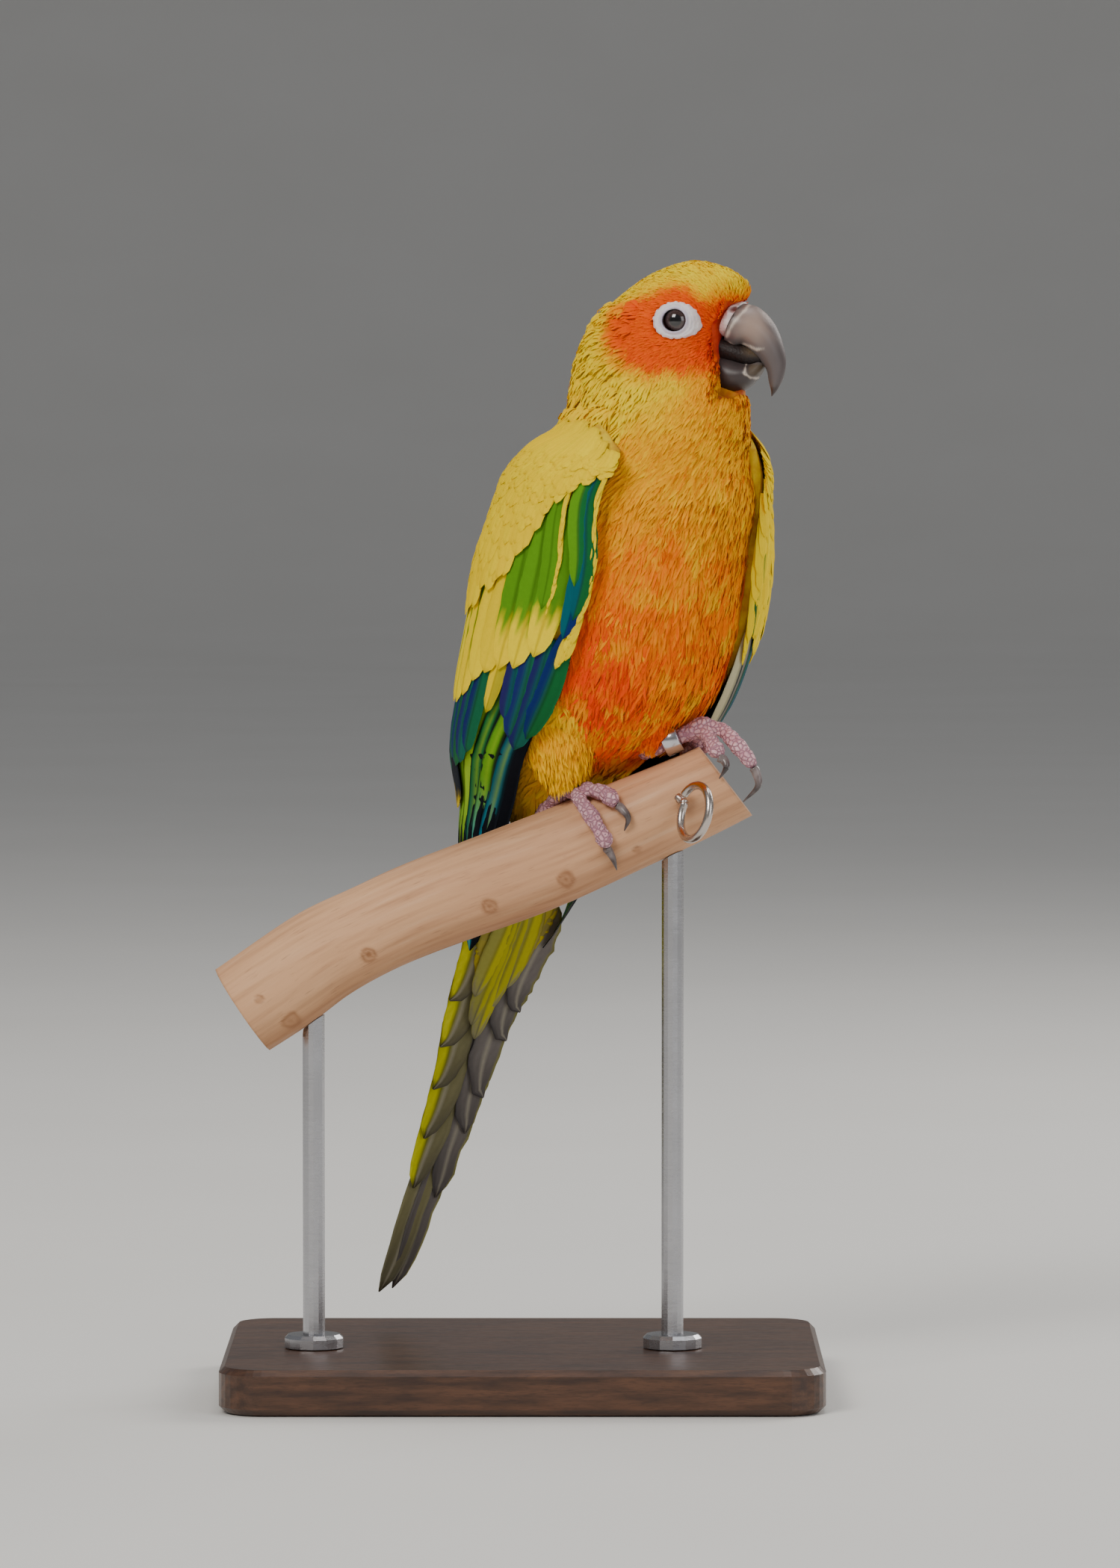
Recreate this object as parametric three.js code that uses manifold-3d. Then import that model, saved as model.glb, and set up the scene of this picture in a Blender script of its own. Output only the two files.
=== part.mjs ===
// Sun conure on a short cut branch: a still, life-size model on a plain display stand.
// Millimetres, +Z up. The origin is the middle of the underside of the stand's base.
// The bird is seen from -Y: its head turns to +X and its tail hangs away from the viewer.
import * as THREE from "three";
import { mergeVertices } from "three/addons/utils/BufferGeometryUtils.js";
import Module from "manifold-3d";

const wasm = await Module();
wasm.setup();

// Clearances
const GAP = 0.32;
const CUT = 0.36;

// Colours
const COLOR = {
  orange: 0xf06a20,
  amber: 0xf8a412,
  golden: 0xffc814,
  cere: 0xdccfc9,
  billUpper: 0x6f6764,
  billLower: 0x4a4341,
  tongue: 0x3b3234,
  eye: 0x20140f,
  lemon: 0xffe020,
  olive: 0x8d8a3c,
  thigh: 0xf7b80c,
  footSkin: 0xe2c9cc,
  claw: 0x4d4543,
  band: 0xc9c8cc,
  branch: 0xd9b08a,
  screwEye: 0xb9b2a8,
  baseWood: 0x4b3527,
  rod: 0xb8b8bc,
};

// Stand
const BASE_LENGTH = 160;
const BASE_DEPTH = 120;
const BASE_THICK = 12;
const BASE_CORNER = 10;
const BASE_BEVEL = 1.6;
const ROD_RADIUS = 3;
const ROD_X = { stand_rod_left: -56, stand_rod_right: 40 };
const COLLAR_RADIUS = 8;
const COLLAR_HEIGHT = 3.5;
const ROD_SIDES = 14;

// Perch: centre line points (x, z) with radius, all in the plane y = PERCH_Y
const PERCH_Y = -10;
const PERCH_LINE = [
  [-75, 103, 13.1],
  [-64, 110.4, 13.3],
  [-53, 117.8, 12.9],
  [-41, 124, 12.4],
  [-29.4, 129.4, 12.5],
  [-16.6, 134.5, 12.7],
  [4, 142, 12.8],
  [16, 146.8, 12.6],
  [35, 155.4, 12.1],
  [54.1, 164.2, 11.4],
];
const PERCH_END_NORMAL = [0.79, 0, 0.613];
const PERCH_SIDES = 16;
const PERCH_KNOT = { at: [-62, PERCH_Y - 2, 98.5], size: [4.5, 4, 4] };

// Body: height, centre x, y, facing turn, half side, front and back reach
const BODY = [
  [150, 5, 14.5, 26, 9.5, 8, 8],
  [158, 8.5, 12.5, 26, 15.5, 13.5, 13.5],
  [166, 11.5, 11, 27, 18.5, 17.5, 17.5],
  [172, 14.5, 8.5, 27, 22.6, 22.4, 21.5],
  [178, 17.5, 5.5, 28, 28.2, 27.4, 25],
  [190, 21, 2.5, 29, 32.5, 33, 28],
  [203, 24, 0, 30, 34, 34.5, 30],
  [215, 26.4, -3, 30, 34, 34, 30.5],
  [228, 29.5, -5.5, 33, 33, 32, 29.5],
  [240, 32.5, -7.5, 38, 30.5, 30, 27.5],
  [250, 34.5, -8.3, 48, 27.5, 26.5, 25.5],
  [260, 36, -8.3, 60, 24.5, 25.5, 25],
  [270, 36.8, -8, 70, 20, 24.5, 24.5],
  [278, 37.3, -8, 75, 17.6, 20, 23],
  [285, 38, -8.2, 75, 16.5, 18.6, 20.5],
  [290, 40.4, -8.9, 75, 15.3, 19.5, 19],
  [295, 44.2, -9.9, 75, 12.8, 17, 17],
  [299, 46, -10.4, 75, 9, 12, 12.5],
  [301.4, 46.5, -10.5, 75, 4.6, 6, 6.5],
  [302.2, 46.5, -10.5, 75, 1.2, 1.6, 1.6],
];
const BODY_SIDES = 28;
const NECK_BOTTOM = 248;
const HEAD_BOTTOM = 266;
const TAIL_TOP = 150;

// Folded wings: height, centre x, y, turn, right and left half side, front and back
// reach, then the ring angles of the right and left leading edge and of the back edge
const WINGS = [
  [112, -7.5, 23.5, 26, 11, 11, 9, 10, 168, 12, 205],
  [120, -4.6, 21.5, 26, 14.5, 14.5, 12, 13, 158, 22, 218],
  [135, 0.4, 17.5, 26, 18.7, 18.7, 16, 17, 150, 30, 232],
  [150, 5, 14.5, 26, 23.6, 23.6, 19, 20.5, 145, 35, 242],
  [160, 9.5, 12.2, 26, 28, 28, 21, 24, 142, 38, 248],
  [172, 15.2, 7.6, 27.5, 35.8, 35, 26, 29, 139, 42, 254],
  [188.6, 20.6, 2.8, 29, 39.6, 39, 32, 34, 135, 46, 260],
  [205.8, 24.6, -0.7, 30, 41, 41, 34.5, 36, 132, 50, 262],
  [222, 28, -4.4, 30.5, 42, 39.8, 34, 37, 130, 52, 262],
  [238.6, 32.2, -7.3, 32, 41, 34.5, 32, 36, 136, 48, 260],
  [246.4, 33.9, -8, 34, 39.5, 32.5, 31, 36, 137, 46, 250],
  [253, 34.8, -8.2, 35, 34.8, 29.5, 29, 32, 137, 44, 225],
  [257.6, 35.4, -8.2, 36, 29.5, 26.5, 26, 28, 146, 34, 200],
];
const WING_THICK = [
  [144, 1.2],
  [152, 2.2],
  [160, 3.4],
  [190, 8],
  [222, 9],
  [246, 11],
  [257.6, 5],
];
const WING_CORE = { low: 146, high: 257.6, sink: 1.3, steps: 13, arc: 7 };

// Wing feathers in tiers. Each tier runs from its first vane, by the leading edge, to its
// last: roots and tips as (height, share of the way to the back edge), and how far the
// root and the tip stand out from the core's cloak
const WING_TIERS = [
  {
    count: 6, width: 10.5, lift: [-2.4, -0.6],
    roots: [[180, 0.2], [172, 0.7]],
    tips: [[116, 0.16], [141, 0.8]],
  },
  {
    count: 4, width: 12.5, lift: [-2.2, 0.2],
    roots: [[190, 0.5], [194, 0.88]],
    tips: [[150, 0.6], [162, 0.95]],
  },
  {
    count: 2, width: 13, lift: [-1.8, 1],
    roots: [[200, 0.8], [208, 0.92]],
    tips: [[163, 0.82], [174, 0.95]],
  },
  {
    count: 3, width: 11, lift: [-1.8, 0.5],
    roots: [[204, 0.1], [196, 0.4]],
    tips: [[174, 0.1], [180, 0.44]],
  },
  {
    count: 5, width: 15.5, lift: [-1.8, 0.9],
    roots: [[212, 0.24], [216, 0.9]],
    tips: [[190, 0.24], [193, 0.9]],
  },
  {
    count: 5, width: 16.5, lift: [-1.9, 0.8],
    roots: [[234, 0.18], [238, 0.88]],
    tips: [[210, 0.16], [213, 0.9]],
  },
  {
    count: 2, width: 8, lift: [-1.7, 0.4],
    roots: [[244, 0.07], [224, 0.1]],
    tips: [[220, 0.05], [200, 0.06]],
  },
];
// How the core's edges close: share of its thickness there, and how fast each face curves away
const WING_EDGE = { thick: 0.3, outer: 0.4, inner: 0.5 };
// Room left for a wing in the plumage: share where it starts, reach over the cloak, and depth
// under it as a share of the cloak's half width
const WING_ROOM = { from: -0.04, over: 1.4, depth: 0.4 };
const WING_TIER_STEP = 0.3;
const VANE_THICK = 0.75;
const VANE_ROLL = 0.07;
// Where a vane stands over its length, and its share of the full width there
const VANE_SHAPE = [[0, 0.7], [0.5, 1], [0.86, 0.84], [1, 0.3]];

// Tail: height, centre x, y, half width, half thickness
const TAIL = [
  [150, 5, 14.5, 9.5, 8],
  [135, 0.6, 17.8, 13.6, 5.2],
  [121.6, -3.3, 21.4, 14.2, 3.6],
  [100, -11.3, 27, 11.5, 2.6],
  [80, -17, 32.4, 9.3, 2],
  [65, -21.4, 36.4, 8.2, 1.7],
  [45, -28.2, 41.6, 6.6, 1.3],
  [28, -34, 45.8, 5, 1],
  [20.5, -38, 47.8, 3, 0.7],
];
const TAIL_TURN = 26;
const TAIL_CORE_END = 92;
const TAIL_CORE_SHARE = 0.74;

// Tail feathers in pairs from the middle out: height of the tip on the right and left,
// and the coverts over and under their roots as (tip height, share of the half width)
const RECTRICES = [
  [20.5, 21.4],
  [52, 50],
  [66, 64],
  [79, 77],
  [92, 91],
  [104, 102],
];
const RECTRIX_WIDTH = 10.5;
const TAIL_BLUNT = 0.6;
const TAIL_LAYER = 0.62;
const TAIL_COVERTS = [[108, 0.1], [119, -0.5], [118, 0.6]];
const COVERT_WIDTH = 11;

// Head: facing turn and the point from which the bill's outlines are measured
const HEAD_TURN = 75;
const HEAD_AT = [37, -8];

// Bill sections: top (forward, height), bottom (forward, height), half width
const BILL_UPPER = [
  [23.2, 291.4, 18.2, 281, 7.1],
  [26.2, 290.6, 20.2, 279.8, 7.1],
  [29, 288.4, 22.6, 280.2, 6.5],
  [31.4, 285.2, 25.4, 277.8, 5.5],
  [33.1, 281, 27.6, 275.7, 4.3],
  [34, 276.4, 28.9, 273.6, 3],
  [33.4, 272, 29.4, 270.9, 2.1],
  [31.9, 268.8, 30, 268.4, 1.1],
  [30.4, 266.9, 30.1, 266.8, 0.35],
];
const CERE = [
  [20.2, 291.6, 16.6, 283.2, 7.6],
  [21.6, 292, 17.4, 282.6, 7.8],
  [22.8, 291.9, 18, 282.2, 7.5],
];
const BILL_LOWER = [
  [16.4, 278.4, 17, 267.4, 6.1],
  [19.5, 277.2, 20.3, 267.3, 6.4],
  [22.6, 276.1, 23.5, 268.8, 6],
  [25, 275.9, 25.8, 270.8, 5],
  [27, 276.4, 27.4, 273, 3.4],
  [28.2, 275.7, 28.3, 274.7, 1.2],
];
const TONGUE = [
  [16.8, 279.6, 16.8, 278.1, 2],
  [20, 279.5, 20, 277.5, 2.6],
  [23.4, 278.9, 23.4, 276.9, 2.3],
  [25.2, 277.9, 25.2, 277, 1.2],
];
const NOSTRIL = { forward: 21.2, height: 289.7, side: 6, radius: 1.26 };

// Eyes and lids
const EYE = { forward: 7.3, height: 287, side: 11.7, radius: 4.2 };
const LID = { ring: 3.7, wire: 0.95, reach: 14.3 };
const LID_STEPS = 14;
const LID_SIDES = 5;

// Legs: tapered plumes, bare shanks and toes as (x, y, z, radius) along each piece
const THIGH = {
  thigh_right: [
    [2, -15, 192, 6],
    [5, -18, 186, 9],
    [7.6, -18.5, 180, 9.4],
    [9.8, -16.6, 173.5, 8],
    [11, -14.6, 168.8, 5.2],
  ],
  thigh_left: [
    [36, -15, 188, 6],
    [36.6, -15.6, 182, 7],
    [36, -13.4, 177, 5.6],
    [35, -11, 173.4, 3.8],
  ],
};
const SHANK = {
  foot_right: [
    [11.2, -13.6, 168.2, 2.5],
    [12.2, -12.8, 165, 2.5],
    [13.4, -11.6, 162, 3],
    [14.2, -10, 161.2, 2.4],
  ],
  foot_left: [
    [35.2, -9.8, 173.2, 2.4],
    [39.6, -10.4, 175.1, 2.1],
    [44.6, -11, 177.3, 2.4],
    [48.2, -11.2, 178.8, 2.9],
    [50, -10.4, 178.4, 2.2],
  ],
};
const TOES = {
  foot_right: {
    digit_2: {
      side: -1,
      points: [[14.6, 162.4], [18, 162.2], [22.2, 161.2], [25, 158.4]],
      claw: [[26.2, 157.6], [28, 155], [27, 151.6]],
    },
    digit_3: {
      side: -1,
      points: [[14.2, 161.6], [15.6, 159], [18, 155.8], [20, 152.6], [21.6, 149.6], [22.2, 147]],
      claw: [[22.8, 146.4], [24, 144.2], [25, 141]],
    },
    digit_1: {
      side: 1,
      points: [[13, 161.6], [10.6, 158.6], [9.6, 155.2], [9.4, 151.8]],
      claw: [[9.6, 150.4], [10.2, 147.4], [11.6, 145.2]],
    },
    digit_4: {
      side: 1,
      points: [[12.4, 161.8], [8.4, 158.8], [5, 154], [3, 149], [2, 144.6]],
      claw: [[1.9, 143], [2, 140], [3, 137.4]],
    },
  },
  foot_left: {
    digit_2: {
      side: -1,
      points: [[48.4, 178.4], [50, 175.6], [51.6, 172.6], [52, 171]],
      claw: [[53.4, 170.4], [54, 168.4], [52.2, 165.4]],
    },
    digit_3: {
      side: -1,
      points: [[49, 178.8], [53.4, 177.8], [57.2, 174], [60, 170.4], [61.2, 168.4]],
      claw: [[62, 167], [62.4, 163.4], [58.6, 159.2]],
    },
    digit_1: {
      side: 1,
      points: [[48.8, 178.4], [48.6, 175], [48, 171.4]],
      claw: [[48.4, 169.8], [49.2, 167.2], [50.8, 165]],
    },
    digit_4: {
      side: 1,
      points: [[48, 178.6], [46.4, 175.6], [44.6, 171.6], [43.4, 167.4], [42.8, 163.6]],
      claw: [[42.8, 162], [43, 159.2], [44, 157]],
    },
  },
};
const TOE_RADIUS = 2.2;
const TOE_CLEAR = 0.1;
const TOE_WAIST = 0.92;
const CLAW_RADIUS = 1.15;
const CLAW_MIDDLE = 0.7;
const CLAW_TIP = 0.22;
const CLAW_TIP_CLEAR = 0.75;
const TOE_SIDES = 6;
const THIGH_SIDES = 12;
// Share of a limb's radius that is left at its first and last rings
const TOE_ENDS = [0.8, 0.7];
const SHANK_ENDS = [0.9, 0.7];
const THIGH_ENDS = [0.5, 0.5];
const CLAW_SIDES = 6;

// Metal band on the left shank and screw eye in the branch
const BAND = { inner: 3.4, outer: 4.05, half: 2.3, sides: 16, shift: 0.2 };
const SCREW_EYE = {
  centre: [46, -30.4, 156.8],
  along: [0.42, -0.85, -0.32],
  up: [0.357, -0.168, 0.917],
  ring: 7.2,
  wire: 1.15,
  shank: 4.4,
};
const SCREW_STEPS = 20;
const SCREW_SIDES = 6;

// Small helpers on vectors and angles
const at = (x, y, z) => new THREE.Vector3(x, y, z);
const rad = (degrees) => (degrees * Math.PI) / 180;
const mix = (a, b, k) => a + (b - a) * k;
const facing = (turn) => at(Math.sin(rad(turn)), -Math.cos(rad(turn)), 0);
const leftward = (turn) => at(Math.cos(rad(turn)), Math.sin(rad(turn)), 0);

// A row of a station table at any height, on a smooth curve through its rows
function rowAt(table, height) {
  const rows = [...table].sort((a, b) => a[0] - b[0]);
  const z = Math.min(Math.max(height, rows[0][0]), rows.at(-1)[0]);
  let k = rows.findIndex((row) => row[0] >= z);
  k = Math.max(k, 1);
  const low = rows[k - 1];
  const high = rows[k];
  const below = rows[k - 2] ?? low;
  const above = rows[k + 1] ?? high;
  const span = high[0] - low[0];
  const t = (z - low[0]) / span;
  return low.map((value, i) => {
    if (i === 0) {
      return z;
    }
    const slope = (a, b) => (b[0] === a[0] ? 0 : (b[i] - a[i]) / (b[0] - a[0]));
    const start = slope(below, high) * span;
    const end = slope(low, above) * span;
    const h1 = 2 * t ** 3 - 3 * t ** 2 + 1;
    const h2 = t ** 3 - 2 * t ** 2 + t;
    const h3 = -2 * t ** 3 + 3 * t ** 2;
    const h4 = t ** 3 - t ** 2;
    return h1 * value + h2 * start + h3 * high[i] + h4 * end;
  });
}

// Closed geometry whose faces point out
function closedGeometry(points, faces) {
  let volume = 0;
  for (const [a, b, c] of faces) {
    volume += points[a].dot(points[b].clone().cross(points[c]));
  }
  const order = volume < 0 ? faces.map(([a, b, c]) => [a, c, b]) : faces;
  const geometry = new THREE.BufferGeometry();
  geometry.setAttribute("position", new THREE.Float32BufferAttribute(points.flatMap((p) => p.toArray()), 3));
  geometry.setIndex(order.flat());
  return geometry;
}

// Skin through closed rings of equal point counts, capped at both ends
function loft(rings) {
  const sides = rings[0].length;
  const points = rings.flat();
  const faces = [];
  for (let i = 0; i < rings.length - 1; i += 1) {
    for (let j = 0; j < sides; j += 1) {
      const a = i * sides + j;
      const b = i * sides + ((j + 1) % sides);
      faces.push([a, b, b + sides], [a, b + sides, a + sides]);
    }
  }
  const last = (rings.length - 1) * sides;
  for (const [ring, first, flip] of [[rings[0], 0, true], [rings.at(-1), last, false]]) {
    const middle = ring.reduce((sum, p) => sum.add(p), at(0, 0, 0)).divideScalar(sides);
    const hub = points.push(middle) - 1;
    for (let j = 0; j < sides; j += 1) {
      const a = first + j;
      const b = first + ((j + 1) % sides);
      faces.push(flip ? [b, a, hub] : [a, b, hub]);
    }
  }
  return closedGeometry(points, faces);
}

// Round bar through [x, y, z, radius] points, with its ends drawn in a little
function bar(points, sides = TOE_SIDES, steps = 3, ends = [1, 1]) {
  const curve = new THREE.CatmullRomCurve3(points.map((p) => at(p[0], p[1], p[2])));
  const count = (points.length - 1) * steps;
  const rings = [];
  for (let i = 0; i <= count; i += 1) {
    const u = i / count;
    const place = u * (points.length - 1);
    const k = Math.min(Math.floor(place), points.length - 2);
    let radius = mix(points[k][3], points[k + 1][3], place - k);
    radius *= i === 0 ? ends[0] : i === count ? ends[1] : 1;
    rings.push(ringAround(curve.getPoint(u), curve.getTangent(u), radius, sides));
  }
  return loft(rings);
}

function ringAround(centre, along, radius, sides, reference = at(0.31, 0.05, 0.95)) {
  const across = along.clone().cross(reference).normalize();
  const over = across.clone().cross(along).normalize();
  return Array.from({ length: sides }, (_, j) => {
    const angle = (2 * Math.PI * j) / sides;
    return centre.clone().addScaledVector(across, radius * Math.cos(angle))
      .addScaledVector(over, radius * Math.sin(angle));
  });
}

// Closed hoop: a wire of a few sides bent round a centre
function hoop(centre, u, v, ringRadius, wire, steps, sides) {
  const axis = u.clone().cross(v).normalize();
  const points = [];
  const faces = [];
  for (let i = 0; i < steps; i += 1) {
    const around = (2 * Math.PI * i) / steps;
    const out = u.clone().multiplyScalar(Math.cos(around)).addScaledVector(v, Math.sin(around));
    for (let j = 0; j < sides; j += 1) {
      const angle = (2 * Math.PI * j) / sides;
      points.push(centre.clone().addScaledVector(out, ringRadius + wire * Math.cos(angle))
        .addScaledVector(axis, wire * Math.sin(angle)));
      const a = i * sides + j;
      const b = i * sides + ((j + 1) % sides);
      const c = ((i + 1) % steps) * sides + ((j + 1) % sides);
      const d = ((i + 1) % steps) * sides + j;
      faces.push([a, b, c], [a, c, d]);
    }
  }
  return closedGeometry(points, faces);
}

// Solids for joining and cutting
function solid(geometry) {
  const bare = geometry.clone();
  bare.deleteAttribute("normal");
  bare.deleteAttribute("uv");
  const merged = mergeVertices(bare, 1e-4);
  return new wasm.Manifold(new wasm.Mesh({
    numProp: 3,
    vertProperties: new Float32Array(merged.attributes.position.array),
    triVerts: new Uint32Array(merged.index.array),
  }));
}

const joined = (solids) => solids.reduce((sum, next) => sum.add(next));

function largest(shape) {
  const pieces = shape.decompose();
  return pieces.sort((a, b) => b.volume() - a.volume())[0];
}

function geometryOf(shape) {
  const mesh = largest(shape).getMesh();
  const geometry = new THREE.BufferGeometry();
  const positions = new Float32Array(mesh.vertProperties);
  geometry.setAttribute("position", new THREE.BufferAttribute(positions, 3));
  geometry.setIndex(new THREE.BufferAttribute(new Uint32Array(mesh.triVerts), 1));
  return geometry;
}

const group = new THREE.Group();

function place(name, geometry, color, roughness, metalness = 0) {
  const material = new THREE.MeshStandardMaterial({ color, roughness, metalness });
  const mesh = new THREE.Mesh(geometry, material);
  mesh.name = name;
  group.add(mesh);
}

// Stand base: a bevelled board with rounded corners
function standBase() {
  const x = BASE_LENGTH / 2 - BASE_BEVEL;
  const y = BASE_DEPTH / 2 - BASE_BEVEL;
  const r = BASE_CORNER;
  const outline = new THREE.Shape();
  outline.moveTo(-x + r, -y);
  outline.lineTo(x - r, -y);
  outline.absarc(x - r, -y + r, r, -Math.PI / 2, 0);
  outline.lineTo(x, y - r);
  outline.absarc(x - r, y - r, r, 0, Math.PI / 2);
  outline.lineTo(-x + r, y);
  outline.absarc(-x + r, y - r, r, Math.PI / 2, Math.PI);
  outline.lineTo(-x, -y + r);
  outline.absarc(-x + r, -y + r, r, Math.PI, 1.5 * Math.PI);
  const board = new THREE.ExtrudeGeometry(outline, {
    depth: BASE_THICK - 2 * BASE_BEVEL,
    bevelThickness: BASE_BEVEL,
    bevelSize: BASE_BEVEL,
    bevelSegments: 1,
    curveSegments: 4,
  });
  board.translate(0, 0, BASE_BEVEL);
  return board;
}

// Perch: a bent, slightly uneven length of branch with one slanting sawn end
function perchRings(grow) {
  const last = PERCH_LINE.length - 1;
  return PERCH_LINE.map(([x, z, radius], i) => {
    const before = PERCH_LINE[Math.max(i - 1, 0)];
    const after = PERCH_LINE[Math.min(i + 1, last)];
    const along = at(after[0] - before[0], 0, after[1] - before[1]).normalize();
    const over = at(-along.z, 0, along.x);
    const cut = at(...PERCH_END_NORMAL);
    return Array.from({ length: PERCH_SIDES }, (_, j) => {
      const angle = (2 * Math.PI * j) / PERCH_SIDES;
      const uneven = 1 + 0.012 * Math.sin(3 * angle + x / 9);
      const reach = radius * uneven + grow;
      const point = at(x, PERCH_Y, z).addScaledVector(over, reach * Math.cos(angle));
      point.y -= reach * Math.sin(angle);
      if (i === last) {
        point.addScaledVector(along, -point.clone().sub(at(x, PERCH_Y, z)).dot(cut) / along.dot(cut));
      }
      const past = i === 0 ? -grow : i === last ? grow : 0;
      return point.addScaledVector(along, past);
    });
  });
}

function perchSolid(grow) {
  const knot = new THREE.SphereGeometry(1, 10, 8);
  knot.scale(...PERCH_KNOT.size.map((s) => s + grow));
  knot.translate(...PERCH_KNOT.at);
  return solid(loft(perchRings(grow))).add(solid(knot));
}

// Point at a picture place (x, z) on the perch, lifted off its bark; side -1 is the front
function onPerch(x, z, lift, side) {
  const row = rowAt(PERCH_LINE, x);
  const next = rowAt(PERCH_LINE, x + 1);
  const slope = Math.atan2(next[1] - row[1], 1);
  const off = (z - row[1]) * Math.cos(slope);
  const reach = row[2] + lift;
  return PERCH_Y + side * Math.sqrt(Math.max(reach ** 2 - off ** 2, 1));
}

// Body rings and the lofts between two heights
function bodyRing(z, grow = 0) {
  const [, x, y, turn, side, front, back] = rowAt(BODY, z);
  return Array.from({ length: BODY_SIDES }, (_, j) => {
    const angle = (2 * Math.PI * j) / BODY_SIDES;
    const depth = Math.sin(angle) > 0 ? front : back;
    return at(x, y, z).addScaledVector(leftward(turn), (side + grow) * Math.cos(angle))
      .addScaledVector(facing(turn), (depth + grow) * Math.sin(angle));
  });
}

function bodyLoft(heights, grow = 0) {
  return loft(heights.map((z) => bodyRing(z, grow)));
}

function steps(from, to, count) {
  return Array.from({ length: count + 1 }, (_, i) => mix(from, to, i / count));
}

const TORSO_HEIGHTS = [TAIL_TOP, 153, 156.5, ...steps(160.5, NECK_BOTTOM - GAP, 12)];
const NECK_HEIGHTS = steps(NECK_BOTTOM, HEAD_BOTTOM - GAP, 4);
const HEAD_HEIGHTS = [...steps(HEAD_BOTTOM, 294, 8), 296.6, 298.8, 300.6, 301.8];

// Rings of the head's own plane: forward and height become a place in the world
function onHead(forward, height, side = 0) {
  return at(HEAD_AT[0], HEAD_AT[1], height).addScaledVector(facing(HEAD_TURN), forward)
    .addScaledVector(leftward(HEAD_TURN), side);
}

function billLoft(sections, grow = 0, sides = 12) {
  return loft(sections.map(([topForward, topHeight, lowForward, lowHeight, half]) => {
    const top = onHead(topForward, topHeight);
    const low = onHead(lowForward, lowHeight);
    const middle = top.clone().add(low).multiplyScalar(0.5);
    const up = top.clone().sub(low).multiplyScalar(0.5);
    up.setLength(up.length() + grow);
    return Array.from({ length: sides }, (_, j) => {
      const angle = (2 * Math.PI * j) / sides;
      return middle.clone().addScaledVector(up, Math.sin(angle))
        .addScaledVector(leftward(HEAD_TURN), (half + grow) * Math.cos(angle));
    });
  }));
}

// Lengthens the ends of a run of bill sections, so that a cut made with it is clear
function stretched(sections, by) {
  const first = sections[0];
  const start = [first[0] - by, first[1], first[2] - by, first[3], first[4]];
  return [start, ...sections];
}

function ball(centre, radius, width = 12, height = 8) {
  const sphere = new THREE.SphereGeometry(radius, width, height);
  sphere.translate(centre.x, centre.y, centre.z);
  return solid(sphere);
}

const eyeCentre = (side) => onHead(EYE.forward, EYE.height, side * EYE.side);

function lid(side) {
  const out = leftward(HEAD_TURN).multiplyScalar(side);
  const up = at(0, 0, 1);
  const ahead = facing(HEAD_TURN);
  const centre = onHead(EYE.forward, EYE.height, side * LID.reach);
  return solid(hoop(centre, ahead, up.clone().addScaledVector(out, -0.1).normalize(),
    LID.ring, LID.wire, LID_STEPS, LID_SIDES));
}

function nostril(side) {
  return ball(onHead(NOSTRIL.forward, NOSTRIL.height, side * NOSTRIL.side), NOSTRIL.radius, 8, 6);
}

const upperBill = solid(billLoft(BILL_UPPER));
const upperClear = solid(billLoft(stretched(BILL_UPPER, 1), GAP));
const cere = solid(billLoft(CERE)).subtract(upperClear).subtract(joined([-1, 1].map(nostril)));
const cereClear = solid(billLoft(stretched(CERE, 1), GAP));
const lowerBill = solid(billLoft(BILL_LOWER)).subtract(upperClear);
const lowerClear = solid(billLoft(stretched(BILL_LOWER, GAP), GAP));
const tongue = solid(billLoft(TONGUE, 0, 10)).subtract(upperClear).subtract(lowerClear);
const tongueClear = solid(billLoft(stretched(TONGUE, GAP), GAP, 10));

function headSolid() {
  const skull = solid(bodyLoft(HEAD_HEIGHTS));
  const lids = joined([-1, 1].map(lid));
  const eyes = joined([-1, 1].map((side) => ball(eyeCentre(side), EYE.radius + GAP)));
  return skull.add(lids).subtract(eyes).subtract(upperClear).subtract(cereClear)
    .subtract(lowerClear).subtract(tongueClear);
}

const CLEAR_HEIGHTS = [...TORSO_HEIGHTS, ...NECK_HEIGHTS, ...HEAD_HEIGHTS.slice(0, 3)];
const bodyClear = solid(bodyLoft(CLEAR_HEIGHTS, CUT));
const perchClear = perchSolid(CUT);

// Wings: each is the sector of a cloak round the body, between its leading and back edges
function cloakPoint(z, angle, side, sink = 0) {
  const [, x, y, turn, right, left, front, back] = rowAt(WINGS, z);
  const half = side < 0 ? right : left;
  const depth = Math.sin(angle) > 0 ? front : back;
  return at(x, y, z).addScaledVector(leftward(turn), (half - sink) * Math.cos(angle))
    .addScaledVector(facing(turn), (depth - sink) * Math.sin(angle));
}

// Share of the way across a wing, from its leading edge to its back edge, as a ring angle
function wingAngle(z, share, side) {
  const row = rowAt(WINGS, z);
  const lead = side < 0 ? row[8] : row[9];
  const rear = side < 0 ? row[10] : 180 - row[10];
  return rad(mix(lead, rear, share));
}

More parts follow.
